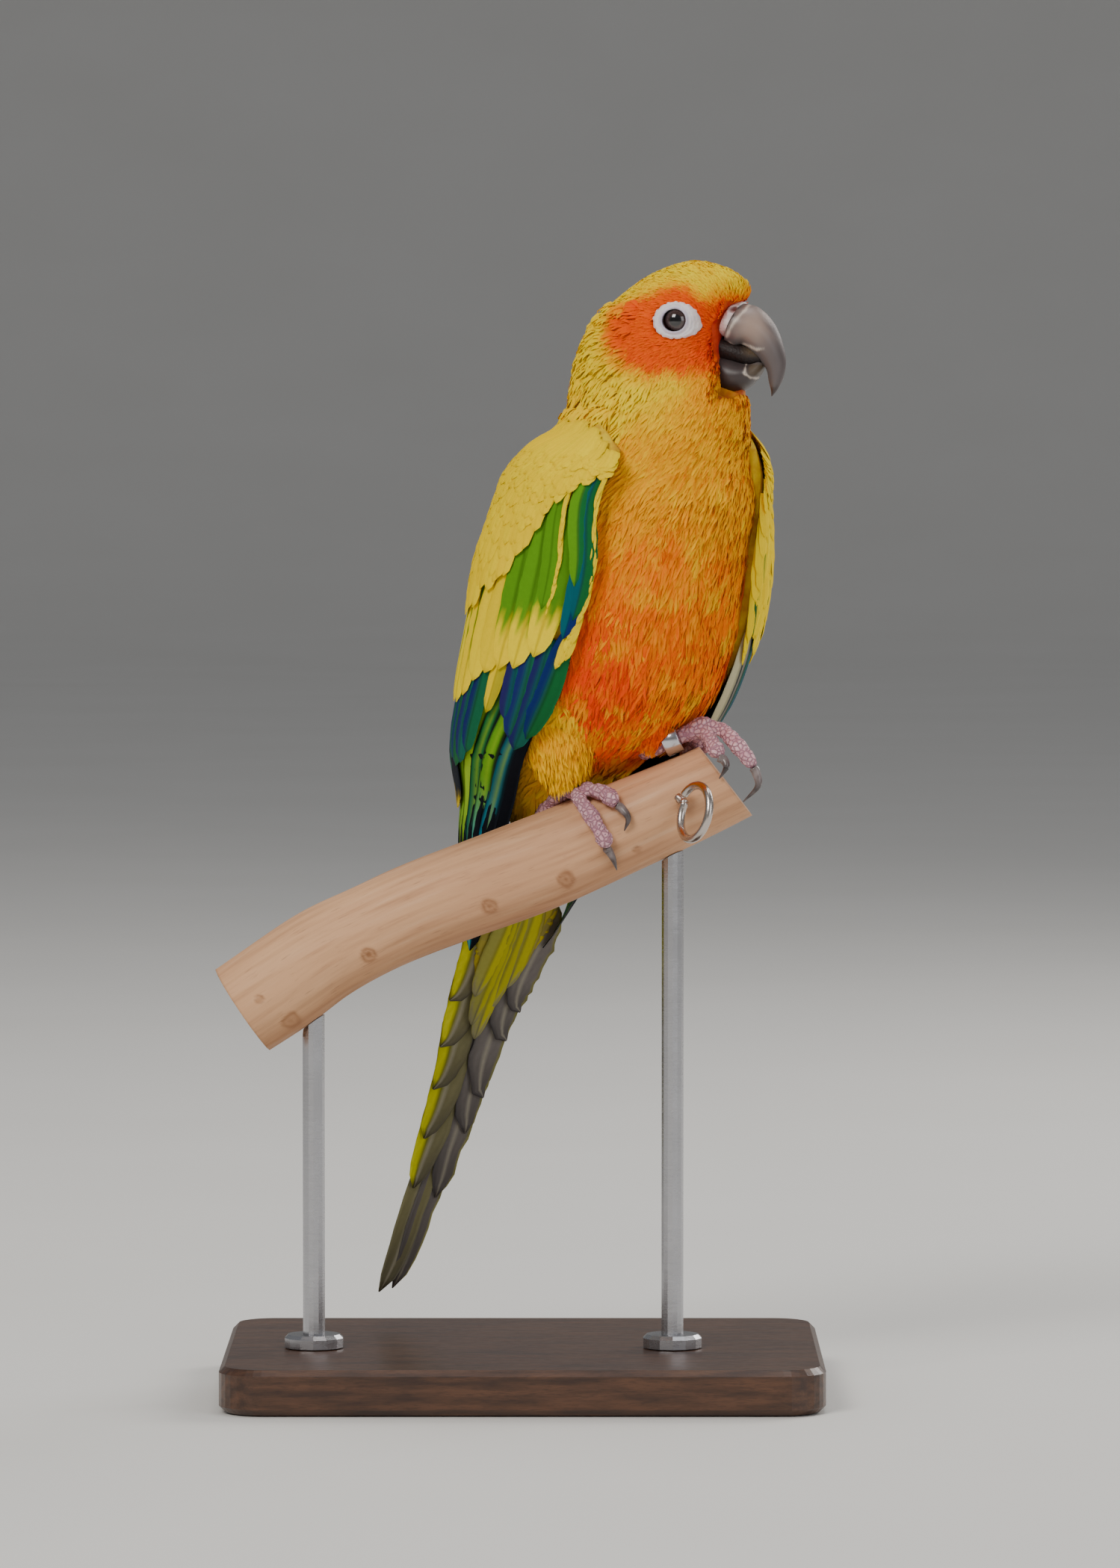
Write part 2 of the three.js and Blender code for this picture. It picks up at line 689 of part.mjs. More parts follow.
// Flat feather through frames along its length: box sections with like faces above and below
function vane(frames, width) {
  const points = [];
  const faces = [];
  for (const { centre, across, normal, share } of frames) {
    for (const [a, n] of [[-1, 1], [1, 1], [1, -1], [-1, -1]]) {
      points.push(centre.clone().addScaledVector(across, (a * width * share) / 2)
        .addScaledVector(normal, (n * VANE_THICK) / 2));
    }
  }
  for (let p = 0; p < points.length - 4; p += 4) {
    const q = p + 4;
    faces.push([p, p + 1, q + 1], [p, q + 1, q]);
    faces.push([p + 1, p + 2, q + 2], [p + 1, q + 2, q + 1]);
    faces.push([p + 2, p + 3, q + 2], [p + 3, q + 3, q + 2]);
    faces.push([p + 3, p, q], [p + 3, q, q + 3]);
  }
  const end = points.length - 4;
  faces.push([2, 1, 0], [3, 2, 0], [end, end + 1, end + 2], [end, end + 2, end + 3]);
  return solid(closedGeometry(points, faces));
}

// Frames of a vane from its centre points and outward normals, rolled about its length
function vaneFrames(centres, normals, roll) {
  return centres.map((centre, i) => {
    const before = centres[Math.max(i - 1, 0)];
    const after = centres[Math.min(i + 1, centres.length - 1)];
    const along = after.clone().sub(before).normalize();
    const flat = normals[i].clone().cross(along).normalize();
    const straight = along.clone().cross(flat).normalize();
    const across = flat.clone().addScaledVector(straight, roll).normalize();
    return { centre, across, normal: along.clone().cross(across).normalize(), share: VANE_SHAPE[i][1] };
  });
}

function cloakNormal(z, share, side) {
  const here = cloakPoint(z, wingAngle(z, share, side), side);
  const across = cloakPoint(z, wingAngle(z, share + 0.02, side), side).sub(here);
  const down = cloakPoint(z - 1, wingAngle(z - 1, share, side), side).sub(here);
  return across.cross(down).multiplyScalar(-side).normalize();
}

function wingVane(side, root, tip, width, lift) {
  const stops = VANE_SHAPE.map(([u]) => [mix(root[0], tip[0], u), mix(root[1], tip[1], u), u]);
  const normals = stops.map(([z, share]) => cloakNormal(z, share, side));
  const centres = stops.map(([z, share, u], i) => {
    const out = mix(lift[0], lift[1], Math.min(1, 1.6 * u)) - WING_CORE.sink;
    return cloakPoint(z, wingAngle(z, share, side), side).addScaledVector(normals[i], out);
  });
  return vane(vaneFrames(centres, normals, side * VANE_ROLL), width);
}

function wingVanes(side) {
  return WING_TIERS.flatMap(({ count, width, roots, tips, lift }) => steps(0, 1, count - 1).map((k) => {
    const root = [mix(roots[0][0], roots[1][0], k), mix(roots[0][1], roots[1][1], k)];
    const tip = [mix(tips[0][0], tips[1][0], k), mix(tips[0][1], tips[1][1], k)];
    const step = WING_TIER_STEP * (k - 0.5);
    return wingVane(side, root, tip, width, lift.map((out) => out + step));
  }));
}

// Room for a whole wing in the plumage under it
function wingRoom(side) {
  return solid(loft(steps(WING_CORE.low, WING_CORE.high, WING_CORE.steps).map((z) => {
    const shares = steps(WING_ROOM.from, 1, WING_CORE.arc);
    const depth = WING_ROOM.depth * rowAt(WINGS, z)[4];
    const outer = shares.map((s) => cloakPoint(z, wingAngle(z, s, side), side, -WING_ROOM.over));
    const inner = shares.map((s) => cloakPoint(z, wingAngle(z, s, side), side, depth));
    return [...outer, ...inner.reverse()];
  })));
}

function wingCore(side) {
  const { low, high, sink, steps: count, arc } = WING_CORE;
  return solid(loft(steps(low, high, count).map((z) => {
    const thick = rowAt(WING_THICK, z)[1];
    const shares = steps(0, 1, arc);
    const outer = shares.map((s) => {
      const depth = sink * Math.sin(Math.PI * s) ** WING_EDGE.outer;
      return cloakPoint(z, wingAngle(z, s, side), side, depth);
    });
    const inner = shares.map((s) => {
      const depth = thick * mix(WING_EDGE.thick, 1, Math.sin(Math.PI * s) ** WING_EDGE.inner) + sink;
      return cloakPoint(z, wingAngle(z, s, side), side, depth);
    });
    return [...outer, ...inner.reverse()];
  })));
}

// Room for the whole tail: a tapering blade with blunt edges
function tailRoom(grow) {
  const blunt = (value) => Math.sign(value) * Math.abs(value) ** TAIL_BLUNT;
  return solid(loft(steps(TAIL.at(-1)[0], TAIL_TOP + 2, 14).map((z) => {
    const [, x, y, half, thick] = rowAt(TAIL, z);
    return Array.from({ length: 20 }, (_, j) => {
      const angle = (2 * Math.PI * j) / 20;
      return at(x, y, z).addScaledVector(leftward(TAIL_TURN), (half + grow) * blunt(Math.cos(angle)))
        .addScaledVector(facing(TAIL_TURN), (thick + grow) * blunt(Math.sin(angle)));
    });
  })));
}

// Tail feathers: pairs in layers, the middle pair at the back and the outer ones in front
function tailFrames(tip, offsets, layer, top = TAIL_TOP - 8) {
  const centres = VANE_SHAPE.map(([u]) => {
    const z = mix(top, tip, u);
    const [, x, y] = rowAt(TAIL, z);
    const out = mix(offsets[0], offsets[1], u);
    return at(x, y, z).addScaledVector(leftward(TAIL_TURN), out)
      .addScaledVector(facing(TAIL_TURN), layer(u, z));
  });
  const normals = centres.map(() => facing(TAIL_TURN));
  return vaneFrames(centres, normals, 0);
}

function rectrix(pair, side) {
  const tip = RECTRICES[pair][side > 0 ? 1 : 0];
  const half = rowAt(TAIL, tip)[3];
  const depth = (pair - 2.5) * 2 * TAIL_LAYER + side * TAIL_LAYER * 0.5;
  const offsets = [side * (0.8 + 1.2 * pair), side * Math.max(half - 2.2, 2.2)];
  return vane(tailFrames(tip, offsets, (u, z) => depth * mix(1, 0.7, u)), RECTRIX_WIDTH);
}

function tailCovert([tip, share], face) {
  const half = rowAt(TAIL, tip)[3];
  const offsets = [0.5 * share * half, share * (half - 5)];
  const thick = (z) => rowAt(TAIL, z)[4];
  const layer = (u, z) => face * (thick(z) + mix(-2, 0.3, Math.min(1, 2 * u)));
  return vane(tailFrames(tip, offsets, layer, TAIL_TOP - 4), COVERT_WIDTH);
}

function tailCore() {
  const top = TAIL_TOP - GAP;
  return solid(loft(steps(TAIL_CORE_END, top, 6).map((z) => {
    const share = Math.min(1, mix(TAIL_CORE_SHARE, 1, (z - 120) / 26));
    const [, x, y, half, thick] = rowAt(TAIL, z);
    return Array.from({ length: 12 }, (_, j) => {
      const angle = (2 * Math.PI * j) / 12;
      return at(x, y, z).addScaledVector(leftward(TAIL_TURN), share * half * Math.cos(angle))
        .addScaledVector(facing(TAIL_TURN), share * thick * Math.sin(angle));
    });
  })));
}

function tailSolid() {
  const pairs = RECTRICES.flatMap((_, pair) => [-1, 1].map((side) => rectrix(pair, side)));
  const coverts = TAIL_COVERTS.flatMap((covert) => [-1, 1].map((face) => tailCovert(covert, face)));
  return joined([tailCore(), ...pairs, ...coverts]);
}

const tailClear = tailRoom(CUT + 0.9);
const wingBody = (side) => joined([wingCore(side), ...wingVanes(side)]).subtract(bodyClear)
  .subtract(tailClear).subtract(perchClear);
const wings = { wing_right: wingBody(-1), wing_left: wingBody(1) };

// Legs
const shankClear = Object.fromEntries(Object.entries(SHANK).map(([name, points]) => {
  const first = points[0];
  const start = [first[0] - 0.2, first[1], first[2] + 0.2, first[3]];
  return [name, solid(bar([start, ...points.slice(1)].map((p) => [p[0], p[1], p[2], p[3] + CUT])))];
}));

function toePath(x, z, toe, lift) {
  return [x, onPerch(x, z, lift, toe.side), z];
}

function toeSolid(toe, grow = 0) {
  const points = toe.points.map(([x, z], i) => {
    const knuckle = i % 2 === 0 ? 1 : TOE_WAIST;
    return [...toePath(x, z, toe, TOE_RADIUS + TOE_CLEAR), TOE_RADIUS * knuckle + grow];
  });
  if (grow > 0) {
    const [a, b] = points.slice(-2).map((p) => at(p[0], p[1], p[2]));
    const past = b.clone().add(b.clone().sub(a).setLength(grow));
    points[points.length - 1] = [...past.toArray(), points.at(-1)[3]];
  }
  return solid(bar(points, TOE_SIDES, 2, TOE_ENDS));
}

// A claw starts inside its toe's end and is cut clear of it
function clawSolid(toe) {
  const end = toe.points.at(-1);
  const tip = toe.claw.at(-1);
  const start = toePath(end[0], end[1], toe, TOE_RADIUS + TOE_CLEAR);
  const root = toePath(toe.claw[0][0], toe.claw[0][1], toe, TOE_RADIUS - 0.3);
  const middle = toePath(toe.claw[1][0], toe.claw[1][1], toe, CLAW_RADIUS + 1);
  const point = toePath(tip[0], tip[1], toe, CLAW_TIP_CLEAR);
  return solid(bar([
    [...start, CLAW_RADIUS],
    [...root, CLAW_RADIUS],
    [...middle, CLAW_RADIUS * CLAW_MIDDLE],
    [...point, CLAW_TIP],
  ], CLAW_SIDES, 2)).subtract(toeSolid(toe, CUT));
}

function bandFrame() {
  const a = at(...SHANK.foot_left[0].slice(0, 3));
  const b = at(...SHANK.foot_left[2].slice(0, 3));
  return { centre: at(...SHANK.foot_left[1].slice(0, 3)), along: b.sub(a).normalize() };
}

function band() {
  const { centre, along } = bandFrame();
  const profile = [
    [BAND.inner, -BAND.half],
    [BAND.outer, -BAND.half],
    [BAND.outer, BAND.half],
    [BAND.inner, BAND.half],
    [BAND.inner, -BAND.half],
  ].map(([r, h]) => new THREE.Vector2(r, h));
  const ring = new THREE.LatheGeometry(profile, BAND.sides);
  ring.applyQuaternion(new THREE.Quaternion().setFromUnitVectors(at(0, 1, 0), along));
  ring.translate(centre.x, centre.y, centre.z + BAND.shift);
  return ring;
}

// Room for the band in the plumage beside it
function bandRoom() {
  const { centre, along } = bandFrame();
  const reach = BAND.half + CUT;
  const ends = [-reach, reach].map((d) => centre.clone().addScaledVector(along, d));
  return solid(bar(ends.map((p) => [p.x, p.y, p.z + BAND.shift, BAND.outer + CUT]), 12, 1));
}

function screwEye(grow = 0) {
  const centre = at(...SCREW_EYE.centre);
  const along = at(...SCREW_EYE.along).normalize();
  const up = at(...SCREW_EYE.up).normalize();
  const wire = SCREW_EYE.wire + grow;
  const ring = solid(hoop(centre, along, up, SCREW_EYE.ring, wire, SCREW_STEPS, SCREW_SIDES));
  const foot = centre.clone().addScaledVector(along, -SCREW_EYE.ring);
  const deep = foot.clone().addScaledVector(along, -SCREW_EYE.shank);
  const stem = solid(bar([[...foot.toArray(), wire], [...deep.toArray(), wire]], SCREW_SIDES, 2));
  return ring.add(stem);
}

// Rod with a collar at its foot, cut to the underside of the perch
function rod(x) {
  const top = rowAt(PERCH_LINE, x)[1] - BASE_THICK;
  const profile = [
    [0, 0],
    [COLLAR_RADIUS, 0],
    [COLLAR_RADIUS, COLLAR_HEIGHT - 1],
    [COLLAR_RADIUS - 1, COLLAR_HEIGHT],
    [ROD_RADIUS, COLLAR_HEIGHT],
    [ROD_RADIUS, top],
    [0, top],
  ].map(([r, h]) => new THREE.Vector2(r, h));
  const turned = new THREE.LatheGeometry(profile, ROD_SIDES);
  turned.rotateX(Math.PI / 2);
  turned.translate(x, PERCH_Y, BASE_THICK + GAP);
  return solid(turned).subtract(perchClear);
}

const feet = Object.fromEntries(Object.entries(TOES).map(([name, toes]) => {
  const shank = solid(bar(SHANK[name], TOE_SIDES, 2, SHANK_ENDS));
  return [name, joined([shank, ...Object.values(toes).map((toe) => toeSolid(toe))]).subtract(perchClear)];
}));

const legRoom = joined([bandRoom(), ...Object.values(shankClear)]);
const torso = solid(bodyLoft(TORSO_HEIGHTS)).subtract(perchClear).subtract(legRoom);

place("torso", geometryOf(torso), COLOR.orange, 0.85);
place("neck", bodyLoft(NECK_HEIGHTS), COLOR.amber, 0.85);
place("head", geometryOf(headSolid()), COLOR.golden, 0.85);
place("cere", geometryOf(cere), COLOR.cere, 0.6);
place("bill_upper", geometryOf(upperBill), COLOR.billUpper, 0.4);
place("bill_lower", geometryOf(lowerBill), COLOR.billLower, 0.45);
place("tongue", geometryOf(tongue), COLOR.tongue, 0.6);
for (const [name, side] of [["eye_right", -1], ["eye_left", 1]]) {
  place(name, geometryOf(ball(eyeCentre(side), EYE.radius)), COLOR.eye, 0.1);
}
for (const [name, wing] of Object.entries(wings)) {
  place(name, geometryOf(wing), COLOR.lemon, 0.8);
}
place("tail", geometryOf(tailSolid().subtract(perchClear)), COLOR.olive, 0.8);
for (const [name, points] of Object.entries(THIGH)) {
  const plume = solid(bar(points, THIGH_SIDES, 2, THIGH_ENDS)).subtract(bodyClear).subtract(legRoom);
  const room = wingRoom(name === "thigh_right" ? -1 : 1);
  place(name, geometryOf(plume.subtract(room)), COLOR.thigh, 0.85);
}
for (const [name, foot] of Object.entries(feet)) {
  place(name, geometryOf(foot.subtract(bodyClear)), COLOR.footSkin, 0.7);
  for (const [digit, toe] of Object.entries(TOES[name])) {
    place(`${name.replace("foot", "claw")}_${digit}`, geometryOf(clawSolid(toe)), COLOR.claw, 0.4);
  }
}
place("leg_band", band(), COLOR.band, 0.3, 1);
place("perch", geometryOf(perchSolid(0).subtract(screwEye(CUT))), COLOR.branch, 0.8);
place("perch_eye", geometryOf(screwEye()), COLOR.screwEye, 0.3, 1);
place("stand_base", standBase(), COLOR.baseWood, 0.5);
for (const [name, x] of Object.entries(ROD_X)) {
  place(name, geometryOf(rod(x)), COLOR.rod, 0.35, 1);
}

export default group;
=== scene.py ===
import math

import bmesh
import bpy
import numpy as np
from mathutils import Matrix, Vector


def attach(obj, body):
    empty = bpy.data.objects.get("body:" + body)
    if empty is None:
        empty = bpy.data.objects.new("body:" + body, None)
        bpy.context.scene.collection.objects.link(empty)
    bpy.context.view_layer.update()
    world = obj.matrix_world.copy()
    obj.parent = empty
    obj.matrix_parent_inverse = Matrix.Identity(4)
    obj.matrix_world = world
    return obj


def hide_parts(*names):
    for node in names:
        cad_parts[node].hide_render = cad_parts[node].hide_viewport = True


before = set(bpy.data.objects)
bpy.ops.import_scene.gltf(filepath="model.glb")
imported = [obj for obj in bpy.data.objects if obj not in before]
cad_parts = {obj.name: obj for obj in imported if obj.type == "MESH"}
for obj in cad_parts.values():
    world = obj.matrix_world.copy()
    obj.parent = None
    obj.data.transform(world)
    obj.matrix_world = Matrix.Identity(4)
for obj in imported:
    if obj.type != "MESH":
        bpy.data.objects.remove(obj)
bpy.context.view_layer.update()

# A sun conure on a cut branch. Lengths below are in millimetres in the frame of the solids,
# and MM turns them into metres when a mesh is made. The bird is seen from -Y.
MM = 0.001
BODY = "root"
rng = np.random.default_rng(20)

# Body stations: height, centre x, y, facing turn, half side, front and back reach
BODY_TABLE = np.array([
    [150, 5, 14.5, 26, 9.5, 8, 8],
    [158, 8.5, 12.5, 26, 15.5, 13.5, 13.5],
    [166, 11.5, 11, 27, 18.5, 17.5, 17.5],
    [172, 14.5, 8.5, 27, 22.6, 22.4, 21.5],
    [178, 17.5, 5.5, 28, 28.2, 27.4, 25],
    [190, 21, 2.5, 29, 32.5, 33, 28],
    [203, 24, 0, 30, 34, 34.5, 30],
    [215, 26.4, -3, 30, 34, 34, 30.5],
    [228, 29.5, -5.5, 33, 33, 32, 29.5],
    [240, 32.5, -7.5, 38, 30.5, 30, 27.5],
    [250, 34.5, -8.3, 48, 27.5, 26.5, 25.5],
    [260, 36, -8.3, 60, 24.5, 25.5, 25],
    [270, 36.8, -8, 70, 20, 24.5, 24.5],
    [278, 37.3, -8, 75, 17.6, 20, 23],
    [285, 38, -8.2, 75, 16.5, 18.6, 20.5],
    [290, 40.4, -8.9, 75, 15.3, 19.5, 19],
    [295, 44.2, -9.9, 75, 12.8, 17, 17],
    [299, 46, -10.4, 75, 9, 12, 12.5],
    [301.4, 46.5, -10.5, 75, 4.6, 6, 6.5],
    [302.2, 46.5, -10.5, 75, 1.2, 1.6, 1.6],
])

# Folded wings: height, centre x, y, turn, right and left half side, front and back reach,
# ring angles of the right and left leading edge and of the back edge
WING_TABLE = np.array([
    [112, -7.5, 23.5, 26, 11, 11, 9, 10, 168, 12, 205],
    [120, -4.6, 21.5, 26, 14.5, 14.5, 12, 13, 158, 22, 218],
    [135, 0.4, 17.5, 26, 18.7, 18.7, 16, 17, 150, 30, 232],
    [150, 5, 14.5, 26, 23.6, 23.6, 19, 20.5, 145, 35, 242],
    [160, 9.5, 12.2, 26, 28, 28, 21, 24, 142, 38, 248],
    [172, 15.2, 7.6, 27.5, 35.8, 35, 26, 29, 139, 42, 254],
    [188.6, 20.6, 2.8, 29, 39.6, 39, 32, 34, 135, 46, 260],
    [205.8, 24.6, -0.7, 30, 41, 41, 34.5, 36, 132, 50, 262],
    [222, 28, -4.4, 30.5, 42, 39.8, 34, 37, 130, 52, 262],
    [238.6, 32.2, -7.3, 32, 41, 34.5, 32, 36, 136, 48, 260],
    [246.4, 33.9, -8, 34, 39.5, 32.5, 31, 36, 137, 46, 250],
    [253, 34.8, -8.2, 35, 34.8, 29.5, 29, 32, 137, 44, 225],
    [257.6, 35.4, -8.2, 36, 29.5, 26.5, 26, 28, 146, 34, 200],
])

# Tail: height, centre x, y, half width, half thickness
TAIL_TABLE = np.array([
    [20.5, -38, 47.8, 3, 0.7],
    [28, -34, 45.8, 5, 1],
    [45, -28.2, 41.6, 6.6, 1.3],
    [65, -21.4, 36.4, 8.2, 1.7],
    [80, -17, 32.4, 9.3, 2],
    [100, -11.3, 27, 11.5, 2.6],
    [121.6, -3.3, 21.4, 14.2, 3.6],
    [135, 0.6, 17.8, 13.6, 5.2],
    [150, 5, 14.5, 9.5, 8],
])
TAIL_TURN = 26
HEAD_TURN = 75
HEAD_AT = np.array([37.0, -8.0])
CIRCLE = 2 * np.pi

# Perch: centre line points (x, z) with radius, in the plane y = PERCH_Y
PERCH_Y = -10.0
PERCH_TABLE = np.array([
    [-75, 103, 13.1],
    [-64, 110.4, 13.3],
    [-53, 117.8, 12.9],
    [-41, 124, 12.4],
    [-29.4, 129.4, 12.5],
    [-16.6, 134.5, 12.7],
    [4, 142, 12.8],
    [16, 146.8, 12.6],
    [35, 155.4, 12.1],
    [54.1, 164.2, 11.4],
])
PERCH_END_NORMAL = np.array([0.79, 0, 0.613])

THIGHS = {
    "thigh_right": [(4.5, -6, 199, 6), (6.5, -8.4, 190.5, 10), (8.4, -10.8, 182, 11.2),
                    (9.8, -12, 174.5, 10), (10.8, -12.4, 167.2, 6.2)],
    "thigh_left": [(35, -12, 194, 5.6), (35.4, -12.6, 187, 6.4), (34.8, -12, 181, 6),
                   (33.6, -10.6, 174.6, 4)],
}
SHANKS = {
    "foot_right": [(11.2, -13.6, 168.2, 2.5), (12.2, -12.8, 165, 2.5), (13.4, -11.6, 162, 3),
                   (14.2, -10, 161.2, 2.4)],
    "foot_left": [(35.2, -9.8, 173.2, 2.4), (39.6, -10.4, 175.1, 2.1), (44.6, -11, 177.3, 2.4),
                  (48.2, -11.2, 178.8, 2.9), (50, -10.4, 178.4, 2.2)],
}
# Where each shank comes out of the plumage
LEG_ROOTS = {"foot_right": (9.6, -11.5, 171, 2.5), "foot_left": (31.2, -5, 171.4, 2.4)}
# Toes and claws by picture place (x, z); side -1 runs down the front of the perch
TOES = {
    "foot_right": {
        "digit_2": (-1, [(14.6, 162.4), (18, 162.2), (22.2, 161.2), (25, 158.4)],
                    [(26.2, 157.6), (28, 155), (27, 151.6)]),
        "digit_3": (-1, [(14.2, 161.6), (15.6, 159), (18, 155.8), (20, 152.6), (21.6, 149.6), (22.2, 147)],
                    [(22.8, 146.4), (24, 144.2), (25, 141)]),
        "digit_1": (1, [(13, 161.6), (10.6, 158.6), (9.6, 155.2), (9.4, 151.8)],
                    [(9.6, 150.4), (10.2, 147.4), (11.6, 145.2)]),
        "digit_4": (1, [(12.4, 161.8), (8.4, 158.8), (5, 154), (3, 149), (2, 144.6)],
                    [(1.9, 143), (2, 140), (3, 137.4)]),
    },
    "foot_left": {
        "digit_2": (-1, [(48.4, 178.4), (50, 175.6), (51.6, 172.6), (52, 171)],
                    [(53.4, 170.4), (54, 168.4), (52.2, 165.4)]),
        "digit_3": (-1, [(49, 178.8), (53.4, 177.8), (57.2, 174), (60, 170.4), (61.2, 168.4)],
                    [(62, 167), (62.4, 163.4), (58.6, 159.2)]),
        "digit_1": (1, [(48.8, 178.4), (48.6, 175), (48, 171.4)],
                    [(48.4, 169.8), (49.2, 167.2), (50.8, 165)]),
        "digit_4": (1, [(48, 178.6), (46.4, 175.6), (44.6, 171.6), (43.4, 167.4), (42.8, 163.6)],
                    [(42.8, 162), (43, 159.2), (44, 157)]),
    },
}
TOE_RADIUS = 2.2
CLAW_RADIUS = 1.15


# Numbers and curves
def rows_at(table, heights):
    """Rows of a station table at any heights, on the smooth curve through its rows."""
    z = np.clip(np.asarray(heights, float), table[0, 0], table[-1, 0])
    k = np.clip(np.searchsorted(table[:, 0], z), 1, len(table) - 1)
    low, high = table[k - 1], table[k]
    below, above = table[np.maximum(k - 2, 0)], table[np.minimum(k + 1, len(table) - 1)]
    span = (high[..., 0] - low[..., 0])[..., None]
    t = (z - low[..., 0])[..., None] / span
    start = (high - below) / np.maximum(high[..., :1] - below[..., :1], 1e-9) * span
    end = (above - low) / np.maximum(above[..., :1] - low[..., :1], 1e-9) * span
    out = ((2 * t**3 - 3 * t**2 + 1) * low + (t**3 - 2 * t**2 + t) * start
           + (3 * t**2 - 2 * t**3) * high + (t**3 - t**2) * end)
    out[..., 0] = z
    return out


def smooth_line(points, count):
    """Evenly spread samples of a smooth curve through rows of numbers."""
    points = np.asarray(points, float)
    knots = np.arange(len(points), dtype=float)
    table = np.column_stack([knots, points])
    fine = rows_at(table, np.linspace(0, knots[-1], 40 * len(points)))[:, 1:]
    steps = np.linalg.norm(np.diff(fine[:, :3], axis=0), axis=1)
    run = np.concatenate([[0], np.cumsum(steps)])
    wanted = np.linspace(0, run[-1], count)
    return np.column_stack([np.interp(wanted, run, fine[:, i]) for i in range(fine.shape[1])])


def unit(v):
    return v / np.maximum(np.linalg.norm(v, axis=-1, keepdims=True), 1e-9)


def leftward(turn):
    a = np.radians(turn)
    return np.stack([np.cos(a), np.sin(a), np.zeros_like(a)], -1)


def facing(turn):
    a = np.radians(turn)
    return np.stack([np.sin(a), -np.cos(a), np.zeros_like(a)], -1)


HEAD_SIDE, HEAD_FACE = leftward(HEAD_TURN), facing(HEAD_TURN)


def round_turn(count):
    return np.linspace(0, CIRCLE, count, endpoint=False)


def bell(x, width):
    return np.exp(-(x / width)**2)


def ramp(x, low, high):
    t = np.clip((np.asarray(x, float) - low) / (high - low), 0, 1)
    return t * t * (3 - 2 * t)


def blend(a, b, k):
    k = np.asarray(k, float)[..., None]
    return np.asarray(a) * (1 - k) + np.asarray(b) * k


def layered(color, *layers):
    """A colour with others laid over it, each given with its cover from 0 to 1."""
    for over, cover in layers:
        color = blend(color, over, cover)
    return color


def srgb(r, g, b):
    c = np.array([r, g, b], float) / 255
    return np.where(c <= 0.04045, c / 12.92, ((c + 0.055) / 1.055) ** 2.4)


def ripple(p, scale, seed=0.0):
    """Smooth patchy pattern from -1 to 1 at places p, with spots about scale across."""
    q = np.asarray(p) / scale
    out = np.zeros(q.shape[:-1])
    for i, (a, b, c) in enumerate([(1.0, 0.4, 0.7), (-0.6, 1.1, 0.5), (0.3, -0.8, 1.2), (1.4, 0.9, -0.7)]):
        out += np.sin(q[..., 0] * a + q[..., 1] * b + q[..., 2] * c + 2.3 * i + seed)
        out += 0.6 * np.sin(2.1 * (q[..., 0] * b - q[..., 1] * c + q[..., 2] * a) + 1.7 * i + 2 * seed)
    return np.clip(out / 3.4, -1, 1)


# Surfaces of the bird
def head_frame(p):
    """How far places lie forward of the head's middle and to its left."""
    rel = p[..., :2] - HEAD_AT
    return rel @ HEAD_FACE[:2], rel @ HEAD_SIDE[:2]


def ring_place(row, side, front, angle):
    """Place on the oval ring of a station row, given how far it reaches to the side and to the front."""
    centre = np.stack([row[..., 1], row[..., 2], row[..., 0]], -1)
    return (centre + (side * np.cos(angle))[..., None] * leftward(row[..., 3])
            + (front * np.sin(angle))[..., None] * facing(row[..., 3]))


def full_body_point(z, angle, sink=0.0):
    row = rows_at(BODY_TABLE, z)
    depth = np.where(np.sin(angle) > 0, row[..., 5], row[..., 6]) - sink
    return ring_place(row, row[..., 4] - sink, depth, angle)


def body_point(z, angle, sink=0.0):
    return clear_of_bill(full_body_point(z, angle, sink))


def clear_of_bill(p):
    """Draws the face back to where the bill, the cere and the chin begin."""
    forward, side = head_frame(p)
    shelf = np.interp(np.abs(side), [3, 6], [269.4, 267.2])
    z = p[..., 2]
    limit = np.interp(z, [267, 280, 284, 291.5, 292.6], [17.4, 16.8, 17.2, 19.8, 60])
    limit = np.where(z < shelf, 60, limit)
    back = np.clip(forward - limit, 0, None)
    return p - back[..., None] * HEAD_FACE


def body_normal(z, angle):
    a = body_point(z, angle + 0.02) - body_point(z, angle - 0.02)
    b = body_point(z + 0.3, angle) - body_point(z - 0.3, angle)
    n = np.cross(b, a)
    row = rows_at(BODY_TABLE, z)
    out = body_point(z, angle) - np.stack([row[..., 1], row[..., 2], row[..., 0]], -1)
    return unit(n * np.sign(np.sum(n * out, -1, keepdims=True) + 1e-9))


def wing_angle(z, share, side):
    row = rows_at(WING_TABLE, z)
    lead = row[..., 8] if side < 0 else row[..., 9]
    rear = row[..., 10] if side < 0 else 180 - row[..., 10]
    return np.radians(lead + (rear - lead) * share)


def wing_point(z, share, side, lift=0.0):
    row = rows_at(WING_TABLE, z)
    angle = wing_angle(z, share, side)
    half = (row[..., 4] if side < 0 else row[..., 5]) + lift
    return ring_place(row, half, np.where(np.sin(angle) > 0, row[..., 6], row[..., 7]) + lift, angle)


def wing_normal(z, share, side):
    a = wing_point(z, share + 0.01, side) - wing_point(z, share - 0.01, side)
    b = wing_point(z - 0.5, share, side) - wing_point(z + 0.5, share, side)
    return unit(np.cross(a, b) * -side)


def on_head(forward, height, side=0.0):
    """Place in the head's own frame: forward from its middle, height, and side to the left."""
    forward, height, side = np.broadcast_arrays(forward, height, side)
    base = np.stack([np.full(forward.shape, HEAD_AT[0]), np.full(forward.shape, HEAD_AT[1]), height], -1)
    return base + forward[..., None] * HEAD_FACE + side[..., None] * HEAD_SIDE


